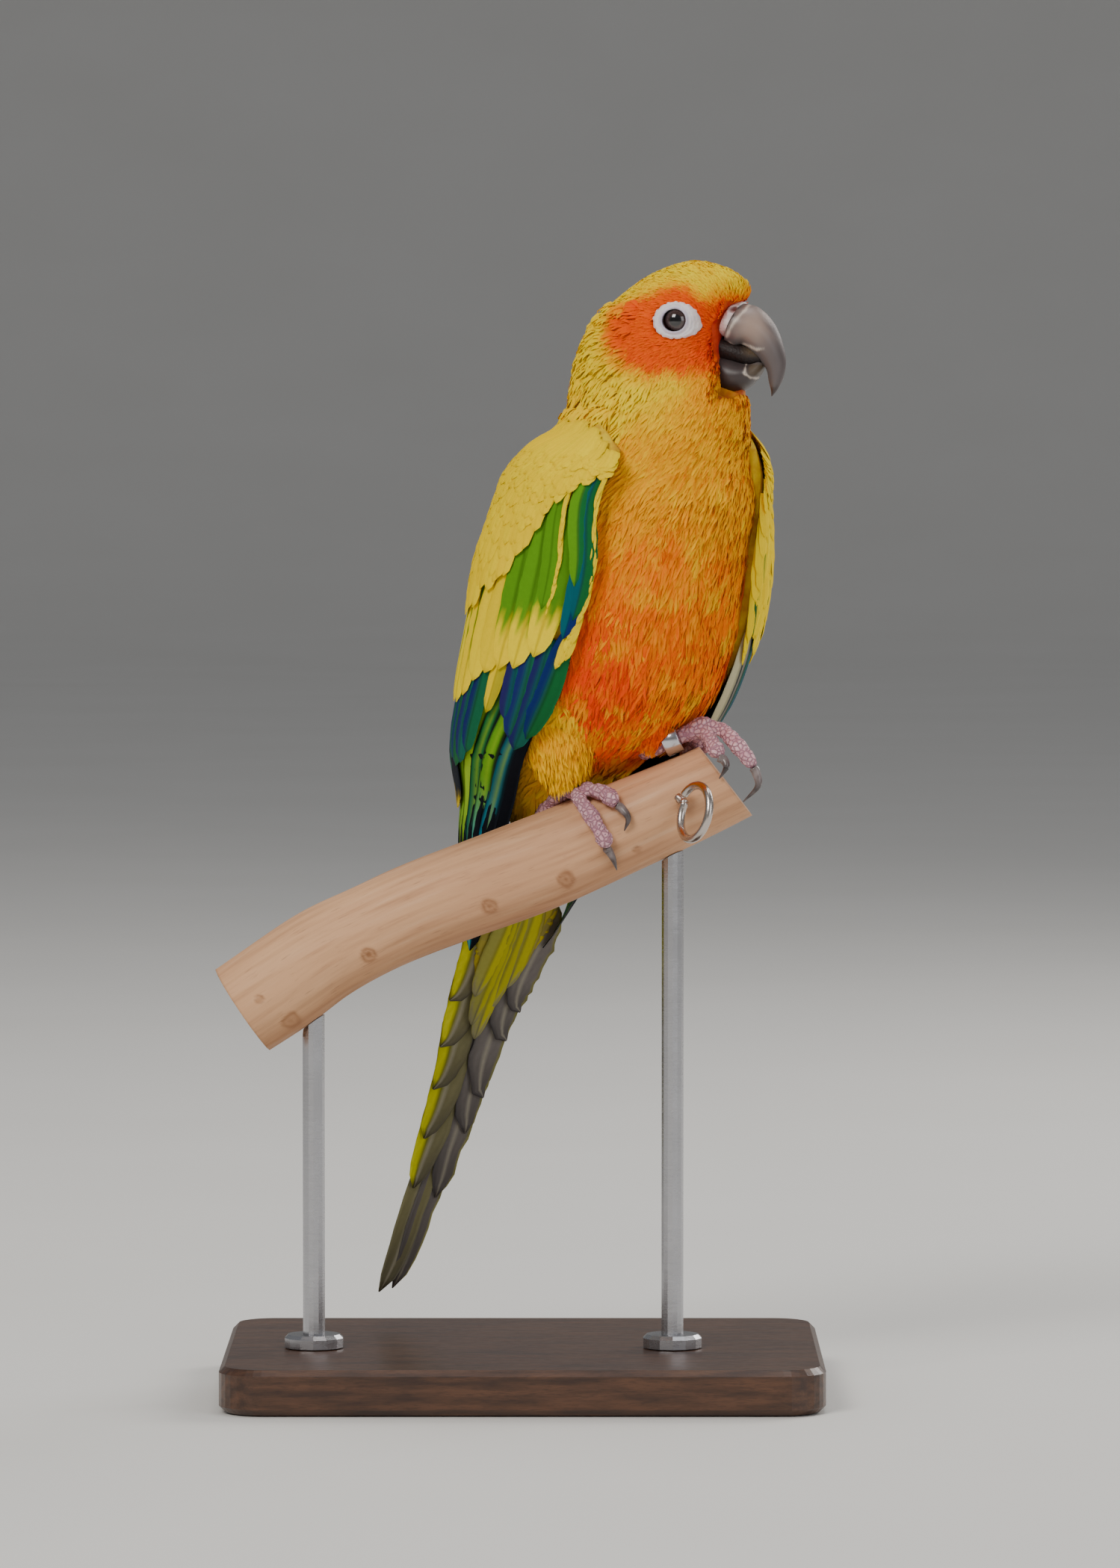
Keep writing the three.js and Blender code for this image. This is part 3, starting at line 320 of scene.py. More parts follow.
def head_side(forward, height):
    """Half width of the head at a forward place and height."""
    row = rows_at(BODY_TABLE, height)
    centre = (row[..., 1:3] - HEAD_AT) @ HEAD_FACE[:2]
    reach = np.where(forward > centre, row[..., 5], row[..., 6])
    return row[..., 4] * np.sqrt(np.clip(1 - ((forward - centre) / reach) ** 2, 0.02, 1))


def perch_y(x, z, lift, side):
    row = rows_at(PERCH_TABLE, x)
    nxt = rows_at(PERCH_TABLE, np.asarray(x) + 1.0)
    off = (z - row[..., 1]) * math.cos(math.atan2(float(nxt[..., 1] - row[..., 1]), 1))
    return PERCH_Y + side * math.sqrt(max((float(row[..., 2]) + lift) ** 2 - off**2, 1))


# Meshes
def linked(name, data):
    obj = bpy.data.objects.new(name, data)
    bpy.context.collection.objects.link(obj)
    return obj


def new_object(name, verts, faces):
    mesh = bpy.data.meshes.new(name)
    mesh.from_pydata((np.asarray(verts) * MM).tolist(), [], faces)
    mesh.validate()
    mesh.polygons.foreach_set("use_smooth", [True] * len(mesh.polygons))
    mesh.update()
    return linked(name, mesh)


def mesh_from_arrays(name, verts, tris):
    """Fast mesh from arrays of places (mm) and triangles."""
    mesh = bpy.data.meshes.new(name)
    mesh.vertices.add(len(verts))
    mesh.vertices.foreach_set("co", (verts * MM).astype(np.float32).ravel())
    mesh.loops.add(tris.size)
    mesh.loops.foreach_set("vertex_index", tris.astype(np.int32).ravel())
    mesh.polygons.add(len(tris))
    mesh.polygons.foreach_set("loop_start", np.arange(0, tris.size, 3, dtype=np.int32))
    mesh.polygons.foreach_set("loop_total", np.full(len(tris), 3, dtype=np.int32))
    mesh.polygons.foreach_set("use_smooth", np.full(len(tris), True))
    mesh.update(calc_edges=True)
    return linked(name, mesh)


def finish_piece(obj, material, replaces=(), colors=None):
    """Gives a piece its vertex colours (linear), its material and its body, and hides the parts it replaces."""
    if colors is not None:
        attribute = obj.data.color_attributes.new("Col", "FLOAT_COLOR", "POINT")
        data = np.ones((len(obj.data.vertices), 4))
        data[:, :3] = np.clip(np.reshape(colors, (-1, 3)), 0, 1)
        attribute.data.foreach_set("color", data.ravel())
    obj.data.materials.append(material)
    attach(obj, BODY)
    if replaces:
        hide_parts(*replaces)


def set_uv(obj, name, coords):
    """UV map from one coordinate pair for each vertex."""
    layer = obj.data.uv_layers.new(name=name)
    loops = np.empty(len(obj.data.loops), int)
    obj.data.loops.foreach_get("vertex_index", loops)
    layer.data.foreach_set("uv", np.asarray(coords)[loops].ravel())


def quads(rings, sides, wrap=False):
    """Faces between rings of vertices; wrap joins the last ring to the first."""
    faces = []
    for i in range(rings if wrap else rings - 1):
        low, high = i * sides, (i + 1) % rings * sides
        faces += [(low + j, low + (j + 1) % sides, high + (j + 1) % sides, high + j) for j in range(sides)]
    return faces


def loft_faces(rings, sides):
    return quads(rings, sides) + [tuple(range(sides))[::-1], tuple(range((rings - 1) * sides, rings * sides))]


def outward(obj):
    """Turns all faces of a closed piece outward."""
    bm = bmesh.new()
    bm.from_mesh(obj.data)
    bmesh.ops.recalc_face_normals(bm, faces=bm.faces)
    bm.to_mesh(obj.data)
    bm.free()
    return obj


def loft_object(name, rings):
    return outward(new_object(name, rings.reshape(-1, 3), loft_faces(*rings.shape[:2])))


def loft_piece(name, rings, material, replaces=(), colors=None):
    finish_piece(loft_object(name, rings), material, replaces, colors)


def closed_band(name, rings):
    return outward(new_object(name, rings.reshape(-1, 3), quads(*rings.shape[:2], wrap=True)))


def joined(parts):
    """Vertices and faces of several lofts together."""
    faces, start = [], 0
    for rings in parts:
        faces += [tuple(i + start for i in f) for f in loft_faces(*rings.shape[:2])]
        start += rings.shape[0] * rings.shape[1]
    return np.concatenate([rings.reshape(-1, 3) for rings in parts]), faces


def tube_rings(line, sides, reference=(0.31, 0.05, 0.95)):
    """Rings round a line of (x, y, z, radius) rows, and the way out at each of their places."""
    line = np.asarray(line, float)
    along = unit(np.gradient(line[:, :3], axis=0))
    across = unit(np.cross(along, np.array(reference)))
    over = np.cross(across, along)
    angle = round_turn(sides)
    ring = (np.cos(angle)[None, :, None] * across[:, None] + np.sin(angle)[None, :, None] * over[:, None])
    return line[:, None, :3] + ring * line[:, None, 3:4], ring


def rounded_ends(line):
    """Draws the radius of a line in to a round nose at both ends."""
    line = np.array(line, float)
    run = np.concatenate([[0], np.cumsum(np.linalg.norm(np.diff(line[:, :3], axis=0), axis=1))])
    for distance, radius in ((run, line[0, 3]), (run[-1] - run, line[-1, 3])):
        part = np.clip(distance / max(radius, 1e-6), 0, 1)
        line[:, 3] *= np.sqrt(np.clip(1 - (1 - part) ** 2, 0.003, 1))
    return line


# Materials
class Nodes:
    """Small helper that builds a node material."""

    def __init__(self, name, roughness, **sockets):
        self.material = bpy.data.materials.new(name)
        self.material.use_nodes = True
        self.tree = self.material.node_tree
        self.shader = self.tree.nodes["Principled BSDF"]
        for socket, value in {"Roughness": roughness, **sockets}.items():
            self.shader.inputs[socket.replace("_", " ")].default_value = value

    def feed(self, socket, value):
        """Sets a number or a colour on a socket, or links another node to it."""
        if isinstance(value, (int, float, tuple)):
            socket.default_value = value
        elif isinstance(value, np.ndarray):
            socket.default_value = (*value, 1.0)
        else:
            self.tree.links.new(value, socket)

    def add(self, kind, inputs, **settings):
        node = self.tree.nodes.new("ShaderNode" + kind)
        for key, value in settings.items():
            setattr(node, key, value)
        for socket, value in inputs.items():
            self.feed(node.inputs[socket], value)
        return node.outputs

    def texture(self, kind, inputs, stretch, uv, **settings):
        coords = self.add("UVMap", {}, uv_map=uv)[0] if uv else self.add("TexCoord", {})["Object"]
        if stretch:
            coords = self.add("Mapping", {"Vector": coords, "Scale": stretch})[0]
        return self.add("Tex" + kind, {**inputs, "Vector": coords}, **settings)

    def noise(self, scale, detail=4.0, stretch=None, uv=None):
        return self.texture("Noise", {"Scale": scale, "Detail": detail}, stretch, uv)["Fac"]

    def voronoi(self, scale, feature="F1"):
        return self.texture("Voronoi", {"Scale": scale}, None, None, feature=feature)["Distance"]

    def range(self, value, low, high, to_low=0.0, to_high=1.0):
        return self.add("MapRange", {"Value": value, "From Min": low, "From Max": high,
                                     "To Min": to_low, "To Max": to_high})["Result"]

    def math(self, operation, a, b=0.0):
        return self.add("Math", {0: a, 1: b}, operation=operation)[0]

    def mix(self, factor, a, b, mode="MIX"):
        return self.add("Mix", {0: factor, 6: a, 7: b}, data_type="RGBA", blend_type=mode)[2]

    def color(self):
        return self.add("VertexColor", {}, layer_name="Col")["Color"]

    def finish(self, color, height=None, strength=0.4, distance=0.0004, roughness=None):
        """Links colour, relief and roughness to the shader, and returns the material."""
        self.feed(self.shader.inputs["Base Color"], color)
        if roughness:
            self.feed(self.shader.inputs["Roughness"], roughness)
        if height:
            bump = self.add("Bump", {"Strength": strength, "Distance": distance, "Height": height})
            self.feed(self.shader.inputs["Normal"], bump[0])
        return self.material


def feather_material(name, roughness, barb_scale, contrast):
    """Feather colours from the vanes, with fine barbs that slant out from the shaft."""
    m = Nodes(name, roughness, Specular_IOR_Level=0.06)
    across, along = m.add("SeparateXYZ", {0: m.add("UVMap", {}, uv_map="Vane")[0]})[:2]
    slant = m.math("SUBTRACT", along, m.math("MULTIPLY", m.math("ABSOLUTE", across), 0.55))
    barbs = m.math("SINE", m.math("MULTIPLY", slant, barb_scale))
    line = m.math("ADD", m.math("MULTIPLY", barbs, 0.5), m.noise(900, 3))
    shade = m.range(line, -0.2, 1.3, 1.0 - contrast, 1.0 + contrast)
    grey = m.add("CombineColor", {0: shade, 1: shade, 2: shade})[0]
    return m.finish(m.mix(1.0, m.color(), grey, "MULTIPLY"), line, 0.25, 0.0002)


def skin_material():
    m = Nodes("plumage_skin", 0.85)
    speckled = m.mix(m.range(m.noise(300), 0.35, 0.65), m.color(), m.color(), "MULTIPLY")
    return m.finish(speckled, m.noise(600), 0.3)


PLUME = feather_material("plumage_soft", 0.9, 120.0, 0.09)
VANE = feather_material("flight_vanes", 0.6, 170.0, 0.12)
SKIN = skin_material()


# Body coat. A tuft is a fan of narrow strands that leaves the skin at its root.
STRAND_STATIONS = np.array([0.0, 0.4, 0.78, 1.0])
STRAND_WIDTHS = np.array([0.75, 1.0, 0.62])
STRAND_TRIS = np.array([[0, 1, 3], [0, 3, 2], [2, 3, 5], [2, 5, 4], [4, 5, 6]])
COAT_DEPTH = 1.7
BILL_BASE = (17.0, 286.0)
STRAND_VERTS = 7
ROW_PITCH = 0.87
BAKE_PATCH = 0.003
THIGH_ROWS, THIGH_SIDES = 60, 64


def tufts(roots, along, normal, length, width, rise, strands, colors, tips, loose):
    """Vertices, triangles, colours and vane coordinates of many tufts, one row per strand."""
    n = len(roots)
    across = unit(np.cross(along, normal))
    u = np.linspace(-1, 1, strands)[None, :] + rng.uniform(-0.16, 0.16, (n, strands))
    own = length[:, None] * (1 - 0.3 * u**2) * rng.uniform(0.8, 1.06, (n, strands))
    wander = rng.normal(0, loose, (n, strands))
    lift = rng.uniform(0.75, 1.25, (n, strands)) * rise[:, None]
    s = STRAND_STATIONS[None, None, :]
    go = own[..., None] * s
    off = width[:, None, None] * u[..., None] * (0.28 + 0.34 * np.sin(s * 1.9)) + wander[..., None] * go * s
    up = lift[..., None] * np.sin(s * 2.3) - 0.22 * u[..., None]**2 * s * width[:, None, None] * 0.4
    line = (roots[:, None, None] + go[..., None] * along[:, None, None]
            + off[..., None] * across[:, None, None] + up[..., None] * normal[:, None, None])
    half = (width / strands * 0.95)[:, None, None] * STRAND_WIDTHS[None, None, :]
    tilt = (across[:, None, None] * half[..., None]
            + normal[:, None, None] * (half * rng.normal(0, 0.35, (n, strands, 1)))[..., None])
    verts = np.empty((n, strands, STRAND_VERTS, 3))
    verts[:, :, 0:6:2] = line[:, :, :3] - tilt
    verts[:, :, 1:6:2] = line[:, :, :3] + tilt
    verts[:, :, 6] = line[:, :, 3]
    share = np.array([0, 0, 0.4, 0.4, 0.78, 0.78, 1.0])
    mixed = blend(colors[:, None, None], tips[:, None, None], ramp(share, 0.15, 0.95)[None, None])
    # painted shade: every strand is painted darker towards its root (0.8 at the root), where the tufts above
    # lie over it
    mixed = mixed * (0.8 + 0.2 * ramp(share, 0, 0.5))[None, None, :, None]
    mixed = mixed * rng.uniform(0.93, 1.07, (n, strands))[..., None, None]
    mixed = mixed * rng.uniform(0.95, 1.05, n)[:, None, None, None]
    lateral = np.broadcast_to(u[..., None], (n, strands, STRAND_VERTS))
    lateral = lateral + np.tile([-0.1, 0.1], 4)[:STRAND_VERTS]
    vane = np.stack([lateral, np.broadcast_to(share, (n, strands, STRAND_VERTS))], -1)
    base = (np.arange(n * strands) * STRAND_VERTS)[:, None, None]
    tris = (base + STRAND_TRIS[None]).reshape(-1, 3)
    return verts.reshape(-1, 3), tris, mixed.reshape(-1, 3), vane.reshape(-1, 2)


def coat_piece(name, parts, root_uv, counts):
    """Joins tufts into one piece with its colours, its vane map and its map for baking."""
    verts, tris, colors, vane = parts
    obj = mesh_from_arrays(name, verts, tris)
    low, high = root_uv.min(0), root_uv.max(0)
    place = 0.02 + 0.95 * (root_uv - low) / np.maximum(high - low, 1e-6)
    patch = np.repeat(place, counts, axis=0) + BAKE_PATCH * np.clip(vane * (0.5, 1) + (0.5, 0), 0, 1)
    set_uv(obj, "Vane", vane)
    set_uv(obj, "OFBake", patch)
    finish_piece(obj, PLUME, (), colors)


# Colours of the plumage, by place on the bird
YELLOW = srgb(255, 210, 0)
AMBER = srgb(255, 158, 0)
ORANGE = srgb(255, 92, 0)
RED_ORANGE = srgb(246, 56, 0)
MASK = srgb(250, 72, 6)
OLIVE = srgb(196, 178, 30)
GREY_DOWN = srgb(120, 116, 92)
THIGH_GOLD = srgb(255, 188, 0)


def plumage(p, angle):
    """Root colour of the coat at places p that lie at ring angles."""
    z, forward = p[..., 2], head_frame(p)[0]
    big, mid, small = ripple(p, 6.5, 1.0), ripple(p, 3.1, 2.0), ripple(p, 1.4, 3.0)
    ahead = np.sin(angle)
    front = np.clip(ahead, 0, 1)
    right = np.clip(-np.cos(angle), 0, 1) * ramp(ahead, -0.4, 0.3)
    # breast: amber, then orange with yellow mottles, redder low down and on the bird's right
    breast = ramp(front + 0.25 * big, 0.05, 0.45) * (1 - ramp(z, 252, 270))
    orange = breast * (1 - ramp(z + 5 * big, 214, 246)) * np.clip(0.62 + 0.5 * mid + 0.55 * right, 0, 1)
    red = (1 - ramp(z + 8 * big, 190, 216)) * ramp(z, 158, 172)
    red = red * np.clip(0.5 * front + 1.1 * right + 0.5 * mid, 0, 1) * ramp(ahead, -0.3, 0.2)
    mottle = breast * np.clip(mid * 1.2 - 0.35 + 0.4 * small, 0, 0.6) * (1 - 0.7 * right)
    # under the belly it turns yellow, then olive towards the tail
    fringe = 1 - ramp(z + 2.5 * mid + small, 165, 171)
    under_tail = 0.5 * (1 - ramp(z + 3 * mid, 144, 154))
    # yellow round the right thigh, up beside the edge of the wing
    thigh = np.sqrt(((p[..., 0] - 5) / 13)**2 + ((z - 176) / 17)**2) + 0.12 * mid
    thigh = (1 - ramp(thigh, 0.8, 1.1)) * ramp(ahead, -0.2, 0.2)
    # mask round the eye, on the lores and over the cheek
    mask = np.sqrt(((forward - 4.2) / 17.5)**2 + ((z - 283.4) / 12.6)**2) + 0.1 * mid + 0.06 * small
    throat = (1 - ramp(z, 262, 276)) * ramp(z, 250, 262) * ramp(forward, 2, 18)
    lores = ramp(forward, 11, 14.5) * ramp(z, 269, 274) * (1 - ramp(z + mid, 290, 294))
    chin = ramp(forward, 10, 14) * (1 - ramp(z + mid, 269, 274)) * ramp(z, 262, 266)
    brow = ramp(forward, 14, 19.5) * ramp(z, 284, 289) * (1 - ramp(z + mid, 293, 297))
    return layered(YELLOW, (AMBER, 0.25 * np.clip(mid, 0, 1)), (AMBER, breast * 0.8), (ORANGE, orange),
                   (RED_ORANGE, red), (YELLOW, mottle), (YELLOW, fringe), (OLIVE, under_tail),
                   (THIGH_GOLD, thigh),
                   (MASK, (1 - ramp(mask, 0.76, 1.1)) * 0.95), (AMBER, throat * 0.7), (MASK, lores * 0.9),
                   (AMBER, chin * 0.8), (ORANGE, brow * 0.85))


def body_flow(p, z, angle, normal):
    """Lie of the coat: away from the bill over the head, and down the body."""
    down = body_point(z - 1.0, angle) - body_point(z + 1.0, angle)
    away = unit(p - on_head(*BILL_BASE))
    weight = ramp(z, 262, 282)[..., None]
    flow = unit(down) * (1 - weight) + away * weight
    flow = flow - normal * np.sum(flow * normal, -1, keepdims=True)
    return unit(flow)


PROFILE_Z = np.linspace(150, 302.2, 300)
PROFILE_ROW = rows_at(BODY_TABLE, PROFILE_Z)
PROFILE_R = (PROFILE_ROW[:, 4] * 2 + PROFILE_ROW[:, 5] + PROFILE_ROW[:, 6]) / 4
PROFILE_ARC = np.concatenate([[0], np.cumsum(np.hypot(np.diff(PROFILE_Z), np.diff(PROFILE_R)))])


def spread_on_body(z_low, z_high, spacing, keep):
    """Evenly spread places (z, angle) on the body between two heights."""
    arc_low, arc_high = np.interp([z_low, z_high], PROFILE_Z, PROFILE_ARC)
    rows = []
    for arc in np.arange(arc_high, arc_low, -spacing * ROW_PITCH):
        z = np.interp(arc, PROFILE_ARC, PROFILE_Z)
        around = CIRCLE * max(np.interp(z, PROFILE_Z, PROFILE_R), 0.5)
        count = max(int(around / spacing), 3)
        angle = (np.arange(count) + rng.uniform(0, 1)) / count * CIRCLE
        rows.append(np.column_stack([np.full(count, z), angle]))
    places = np.concatenate(rows)
    places[:, 0] += rng.uniform(-0.35, 0.35, len(places)) * spacing
    places[:, 0] = np.clip(places[:, 0], z_low, z_high)
    places[:, 1] = (places[:, 1] + rng.uniform(-0.3, 0.3, len(places)) * spacing / 25) % CIRCLE
    return places[keep(places[:, 0], places[:, 1])]


def head_bare_keep(z, angle):
    """False where the bill, the cere or the bare ring round the eye takes the feathers' place."""
    p = body_point(z, angle)
    drawn = np.linalg.norm(full_body_point(z, angle)[:, :2] - p[:, :2], axis=1)
    forward, side = head_frame(p)
    eye = (((forward - 7.4) / 5.9)**2 + ((z - 286.8) / 4.6)**2 < 1) & (np.abs(side) > 6)
    bill = (forward > 16.3) & (z > 267.4) & (z < 291.4) & (np.abs(side) < 8)
    edge = (z > 289.8) | (z < 271)
    stray = (drawn > 0.5) & edge & (np.abs(side) < 11)
    return ~(eye | bill | stray) & (drawn < np.where(edge, 2.2, 6.0))


def under_wing(z, angle, margin):
    """True where a place on the body lies well under a folded wing."""
    row = rows_at(WING_TABLE, z)
    right = (angle > np.radians(row[..., 8] + margin)) & (angle < np.radians(row[..., 10] - margin * 0.5))
    left = (angle < np.radians(row[..., 9] - margin)) | (
        angle > np.radians(180 - row[..., 10] + margin * 0.5) + CIRCLE)
    return (right | left) & (z < 250)


def body_coat(name, z_low, z_high, spacing, length, width, rise, strands, loose, keep):
    z, angle = spread_on_body(z_low, z_high, spacing, keep).T
    roots = body_point(z, angle, COAT_DEPTH)
    normal = body_normal(z, angle)
    along = body_flow(roots, z, angle, normal)
    along = unit(along + np.cross(along, normal) * rng.normal(0, 0.13, len(z))[:, None])
    surface = body_point(z, angle)
    color, tip = plumage(surface, angle), plumage(surface + along * 3, angle)
    tip = blend(tip, tip * (1.0, 1.2, 1.0) + (0, 0.03, 0), 0.5)
    spread = rng.uniform(0.85, 1.2, len(z))
    long, wide = (np.interp(z, [z_low, z_high], size) * spread for size in (length, width))
    # no tuft may stand out past the edge of the face beside the bill
    tips = roots + along * long[:, None]
    past = head_frame(tips)[0] - head_frame(body_point(np.clip(tips[:, 2], 150, 302), angle))[0]
    forward = head_frame(roots)[0]
    kept = (z < 262) | (forward < 9) | (past < np.where(forward > 14, 0.25, 1.0))
    roots, along, normal, long, wide, color, tip, z, angle = (
        a[kept] for a in (roots, along, normal, long, wide, color, tip, z, angle))
    parts = tufts(roots, along, normal, long, wide, np.full(len(z), rise), strands, color, tip, loose)
    arc = np.interp(z, PROFILE_Z, PROFILE_ARC)
    coat_piece(name, parts, np.column_stack([angle, arc]), strands * STRAND_VERTS)


def build_skin():
    """One skin under the whole coat, over head, neck, torso and thighs."""
    heights = np.concatenate([np.linspace(150, 285, 70), 302 - 17 * (1 - np.linspace(0, 1, 24)[1:])**2])
    angle = round_turn(72)
    z, a = np.meshgrid(heights, angle, indexing="ij")
    parts = [body_point(z, a, COAT_DEPTH + 0.1)]
    for rows in THIGHS.values():
        line = rounded_ends(smooth_line(rows, 20))
        line[:, 3] = np.maximum(line[:, 3] - COAT_DEPTH, 0.3)
        parts.append(tube_rings(line, 24)[0])
    every, faces = joined(parts)
    skin = outward(new_object("skin", every, faces))
    row = rows_at(BODY_TABLE, every[:, 2])
    x, y = (every[:, :2] - row[:, 1:3]).T
    turn = np.radians(row[:, 3])
    side, front = x * np.cos(turn) + y * np.sin(turn), x * np.sin(turn) - y * np.cos(turn)
    # painted shade: the skin takes the colour of the coat over it at 0.7 of its brightness, as shade in the
    # depths under the tufts
    finish_piece(skin, SKIN, ("head", "neck", "torso", "thigh_right", "thigh_left"),
                 plumage(every, np.arctan2(front, side) % CIRCLE) * 0.7)


def thigh_coat(name, rows, spacing, gold, length_range):
    """Soft feathers down a thigh, each row hanging over the next."""
    line = smooth_line(rows, THIGH_ROWS)
    out = tube_rings(line, THIGH_SIDES)[1]
    length = np.linalg.norm(np.diff(line[:, :3], axis=0), axis=1).sum()
    step = length / THIGH_ROWS
    picks = []
    for i in np.arange(0, THIGH_ROWS - 1, max(spacing * ROW_PITCH / step, 1.0)).astype(int):
        around = max(int(CIRCLE * line[i, 3] / spacing), 8)
        for angle in (np.arange(around) + rng.uniform(0, 1)) / around * THIGH_SIDES:
            picks.append((i, int(angle) % THIGH_SIDES))
    i, j = np.array(picks).T
    normal = out[i, j]
    along = unit(np.gradient(line[:, :3], axis=0))[i]
    bulge = np.sqrt(np.clip(1 - ((i / THIGH_ROWS - 0.5) / 0.62)**2, 0.1, 1))
    roots = line[i, :3] + normal * ((line[i, 3] - COAT_DEPTH) * bulge)[:, None]
    along = unit(along + 0.25 * normal * (0.2 - i / THIGH_ROWS)[:, None] + rng.normal(0, 0.1, (len(i), 3)))
    along = unit(along - normal * np.sum(along * normal, -1, keepdims=True))
    color = blend(gold, AMBER, np.clip(0.2 + 0.4 * ripple(roots, 3, 4.0), 0, 1))
    tip = blend(color, YELLOW, 0.5 * ramp(-roots[:, 2], -178, -172))
    n = len(i)
    parts = tufts(roots, along, normal, rng.uniform(*length_range, n), np.full(n, 3.4), np.full(n, 0.7), 7,
                  color, tip, 0.09)
    coat_piece(name, parts, np.column_stack([j / THIGH_SIDES * CIRCLE * 8, i * step]), 7 * STRAND_VERTS)


build_skin()
thigh_coat("coat_thigh_right", THIGHS["thigh_right"], 1.2, THIGH_GOLD, (6.5, 9))
thigh_coat("coat_thigh_left", THIGHS["thigh_left"], 1.2, ORANGE, (3.6, 5))
for coat, *settings, margin in (
        ("crown", 288, 302.0, 0.85, (3.6, 2.6), (1.7, 1.4), 0.7, 5, 0.05, None),
        ("face", 266, 288, 0.95, (4.2, 3.6), (2.0, 1.7), 0.75, 5, 0.06, None),
        ("neck", 246, 266, 1.3, (8, 5), (3.4, 2.4), 0.9, 6, 0.07, 8),
        ("breast", 205, 246, 1.6, (9.5, 8), (4.0, 3.4), 1.1, 7, 0.09, 12),
        ("belly", 158, 205, 1.7, (10.5, 10), (4.2, 4.2), 1.2, 7, 0.11, 16)):
    keep_rule = head_bare_keep if margin is None else (lambda z, a, edge=margin: ~under_wing(z, a, edge))
    body_coat("coat_" + coat, *settings, keep_rule)
body_coat("coat_nape", 254, 291, 2.7, (6.5, 5), (3.4, 2.8), 1.7, 7, 0.07,
          lambda z, a: (np.sin(a) < np.where(z > 272, -0.25, 0.15)) & ~under_wing(z, a, 0))
body_coat("coat_mantle", 232, 264, 2.1, (11, 8), (4.6, 3.8), 3.0, 7, 0.09,
          lambda z, a: (np.sin(a) < -0.1) & ~under_wing(z, a, -6))


# Flight feathers and coverts: each is a closed, cambered vane with a shaft
class Vanes:
    """Gathers vanes into one piece, each with its own cell on the map for baking."""

    def __init__(self, along, across, thick):
        self.s = np.linspace(0, 1, along) ** 0.9
        self.u = np.linspace(-1, 1, across + 1)
        self.thick = thick
        self.verts, self.colors, self.maps = [], [], []

    def add(self, points, normals, half, color, camber=0.12, roll=0.0, point=0.35, root=0.45, ragged=0.03):
        """One vane on a line of points. color(s, u, top) gives linear colours."""
        points, normals = np.asarray(points), unit(np.asarray(normals))
        t = unit(np.gradient(points, axis=0))
        across = unit(np.cross(t, normals))
        over = unit(np.cross(across, t))
        across = across * math.cos(roll) + over * math.sin(roll)
        over = unit(np.cross(across, t))
        s, u = self.s, self.u
        widest = 1 - point
        width = np.interp(s, [0, 0.12, 0.45, 1], [root, 0.8, 1, 1])
        width = width * np.sqrt(np.clip(1 - (np.clip(s - widest, 0, 1) / point) ** 2.2, 0.004, 1))
        edge = 1 + rng.normal(0, ragged, (len(s), 2))
        w = half * width[:, None] * np.where(u[None] < 0, edge[:, :1], edge[:, 1:])
        rise = camber * w * (1 - u[None]**2) + bell(u[None], 0.12) * 0.12 * (1 - s[:, None])
        flat = points[:, None] + across[:, None] * (w * u[None])[..., None]
        thin = self.thick * (1 - np.abs(u[None])**3) * np.ones((len(s), 1))
        for top, sign in ((True, 1.0), (False, -1.0)):
            self.verts.append((flat + over[:, None] * (rise + sign * thin)[..., None]).reshape(-1, 3))
            colors = np.broadcast_to(color(s[:, None], u[None], top), (len(s), len(u), 3))
            self.colors.append(colors.reshape(-1, 3))
        run = np.linalg.norm(np.diff(points, axis=0), axis=1).sum() / 10
        uv = np.stack(np.broadcast_arrays(u[None], s[:, None] * run), -1).reshape(-1, 2)
        cell = np.stack(np.broadcast_arrays(u[None] * 0.5 + 0.5, s[:, None]), -1).reshape(-1, 2)
        self.maps.append((uv, cell))

    def lay(self, side, start, end, lifts, half, color, roll=0.0, **shape):
        """A vane on the folded wing from start to end, both (height, share)."""
        z, share, lift = (a + (b - a) * self.s for a, b in (*zip(start, end), lifts))
        line, normal = on_wing(z, share, side, lift), wing_normal(np.minimum(z, WING_TOP), share, side)
        self.add(line, normal, half, color, roll=-side * roll, **shape)

    def build(self, name, material):
        n, m = len(self.s), len(self.u)
        i, j = np.meshgrid(np.arange(n - 1), np.arange(m - 1), indexing="ij")
        a = (i * m + j).ravel()
        top = np.concatenate([np.column_stack([a, a + 1, a + m + 1]), np.column_stack([a, a + m + 1, a + m])])
        under = top[:, ::-1] + n * m
        loop = np.concatenate([np.arange(m - 1), np.arange(n - 1) * m + m - 1,
                               np.arange(m - 1, 0, -1) + (n - 1) * m, np.arange(n - 1, 0, -1) * m])
        nxt = np.roll(loop, -1)
        rim = np.concatenate([np.column_stack([nxt, loop, loop + n * m]),
                              np.column_stack([nxt, loop + n * m, nxt + n * m])])
        one = np.concatenate([top, under, rim])
        count = len(self.verts) // 2
        tris = (one[None] + (np.arange(count) * 2 * n * m)[:, None, None]).reshape(-1, 3)
        obj = mesh_from_arrays(name, np.concatenate(self.verts), tris)
        grid = math.ceil(math.sqrt(count))
        vane, bake = [], []
        for k, (uv, cell) in enumerate(self.maps):
            corner = np.array([k % grid, k // grid]) / grid
            for layer in range(2):
                vane.append(uv)
                bake.append(corner + (cell * (0.42, 0.9) + (0.04 + 0.5 * layer, 0.05)) / grid)
        set_uv(obj, "Vane", np.concatenate(vane))
        set_uv(obj, "OFBake", np.concatenate(bake))
        finish_piece(obj, material, (), np.concatenate(self.colors))


def on_wing(z, share, side, lift):
    """Place on the folded wing, which rounds over on to the body above its top station."""
    top = WING_TABLE[-1, 0]
    z = z - np.interp(share, [0, 0.1, 0.25, 0.5], [8.5, 4.8, 1.4, 0]) * ramp(z, 243, 261)
    over = np.clip(z - top, 0, None)
    p = wing_point(np.minimum(z, top), share, side, lift - 4.6 * (over / 4)**1.4)
    p[..., 2] += over
    return p


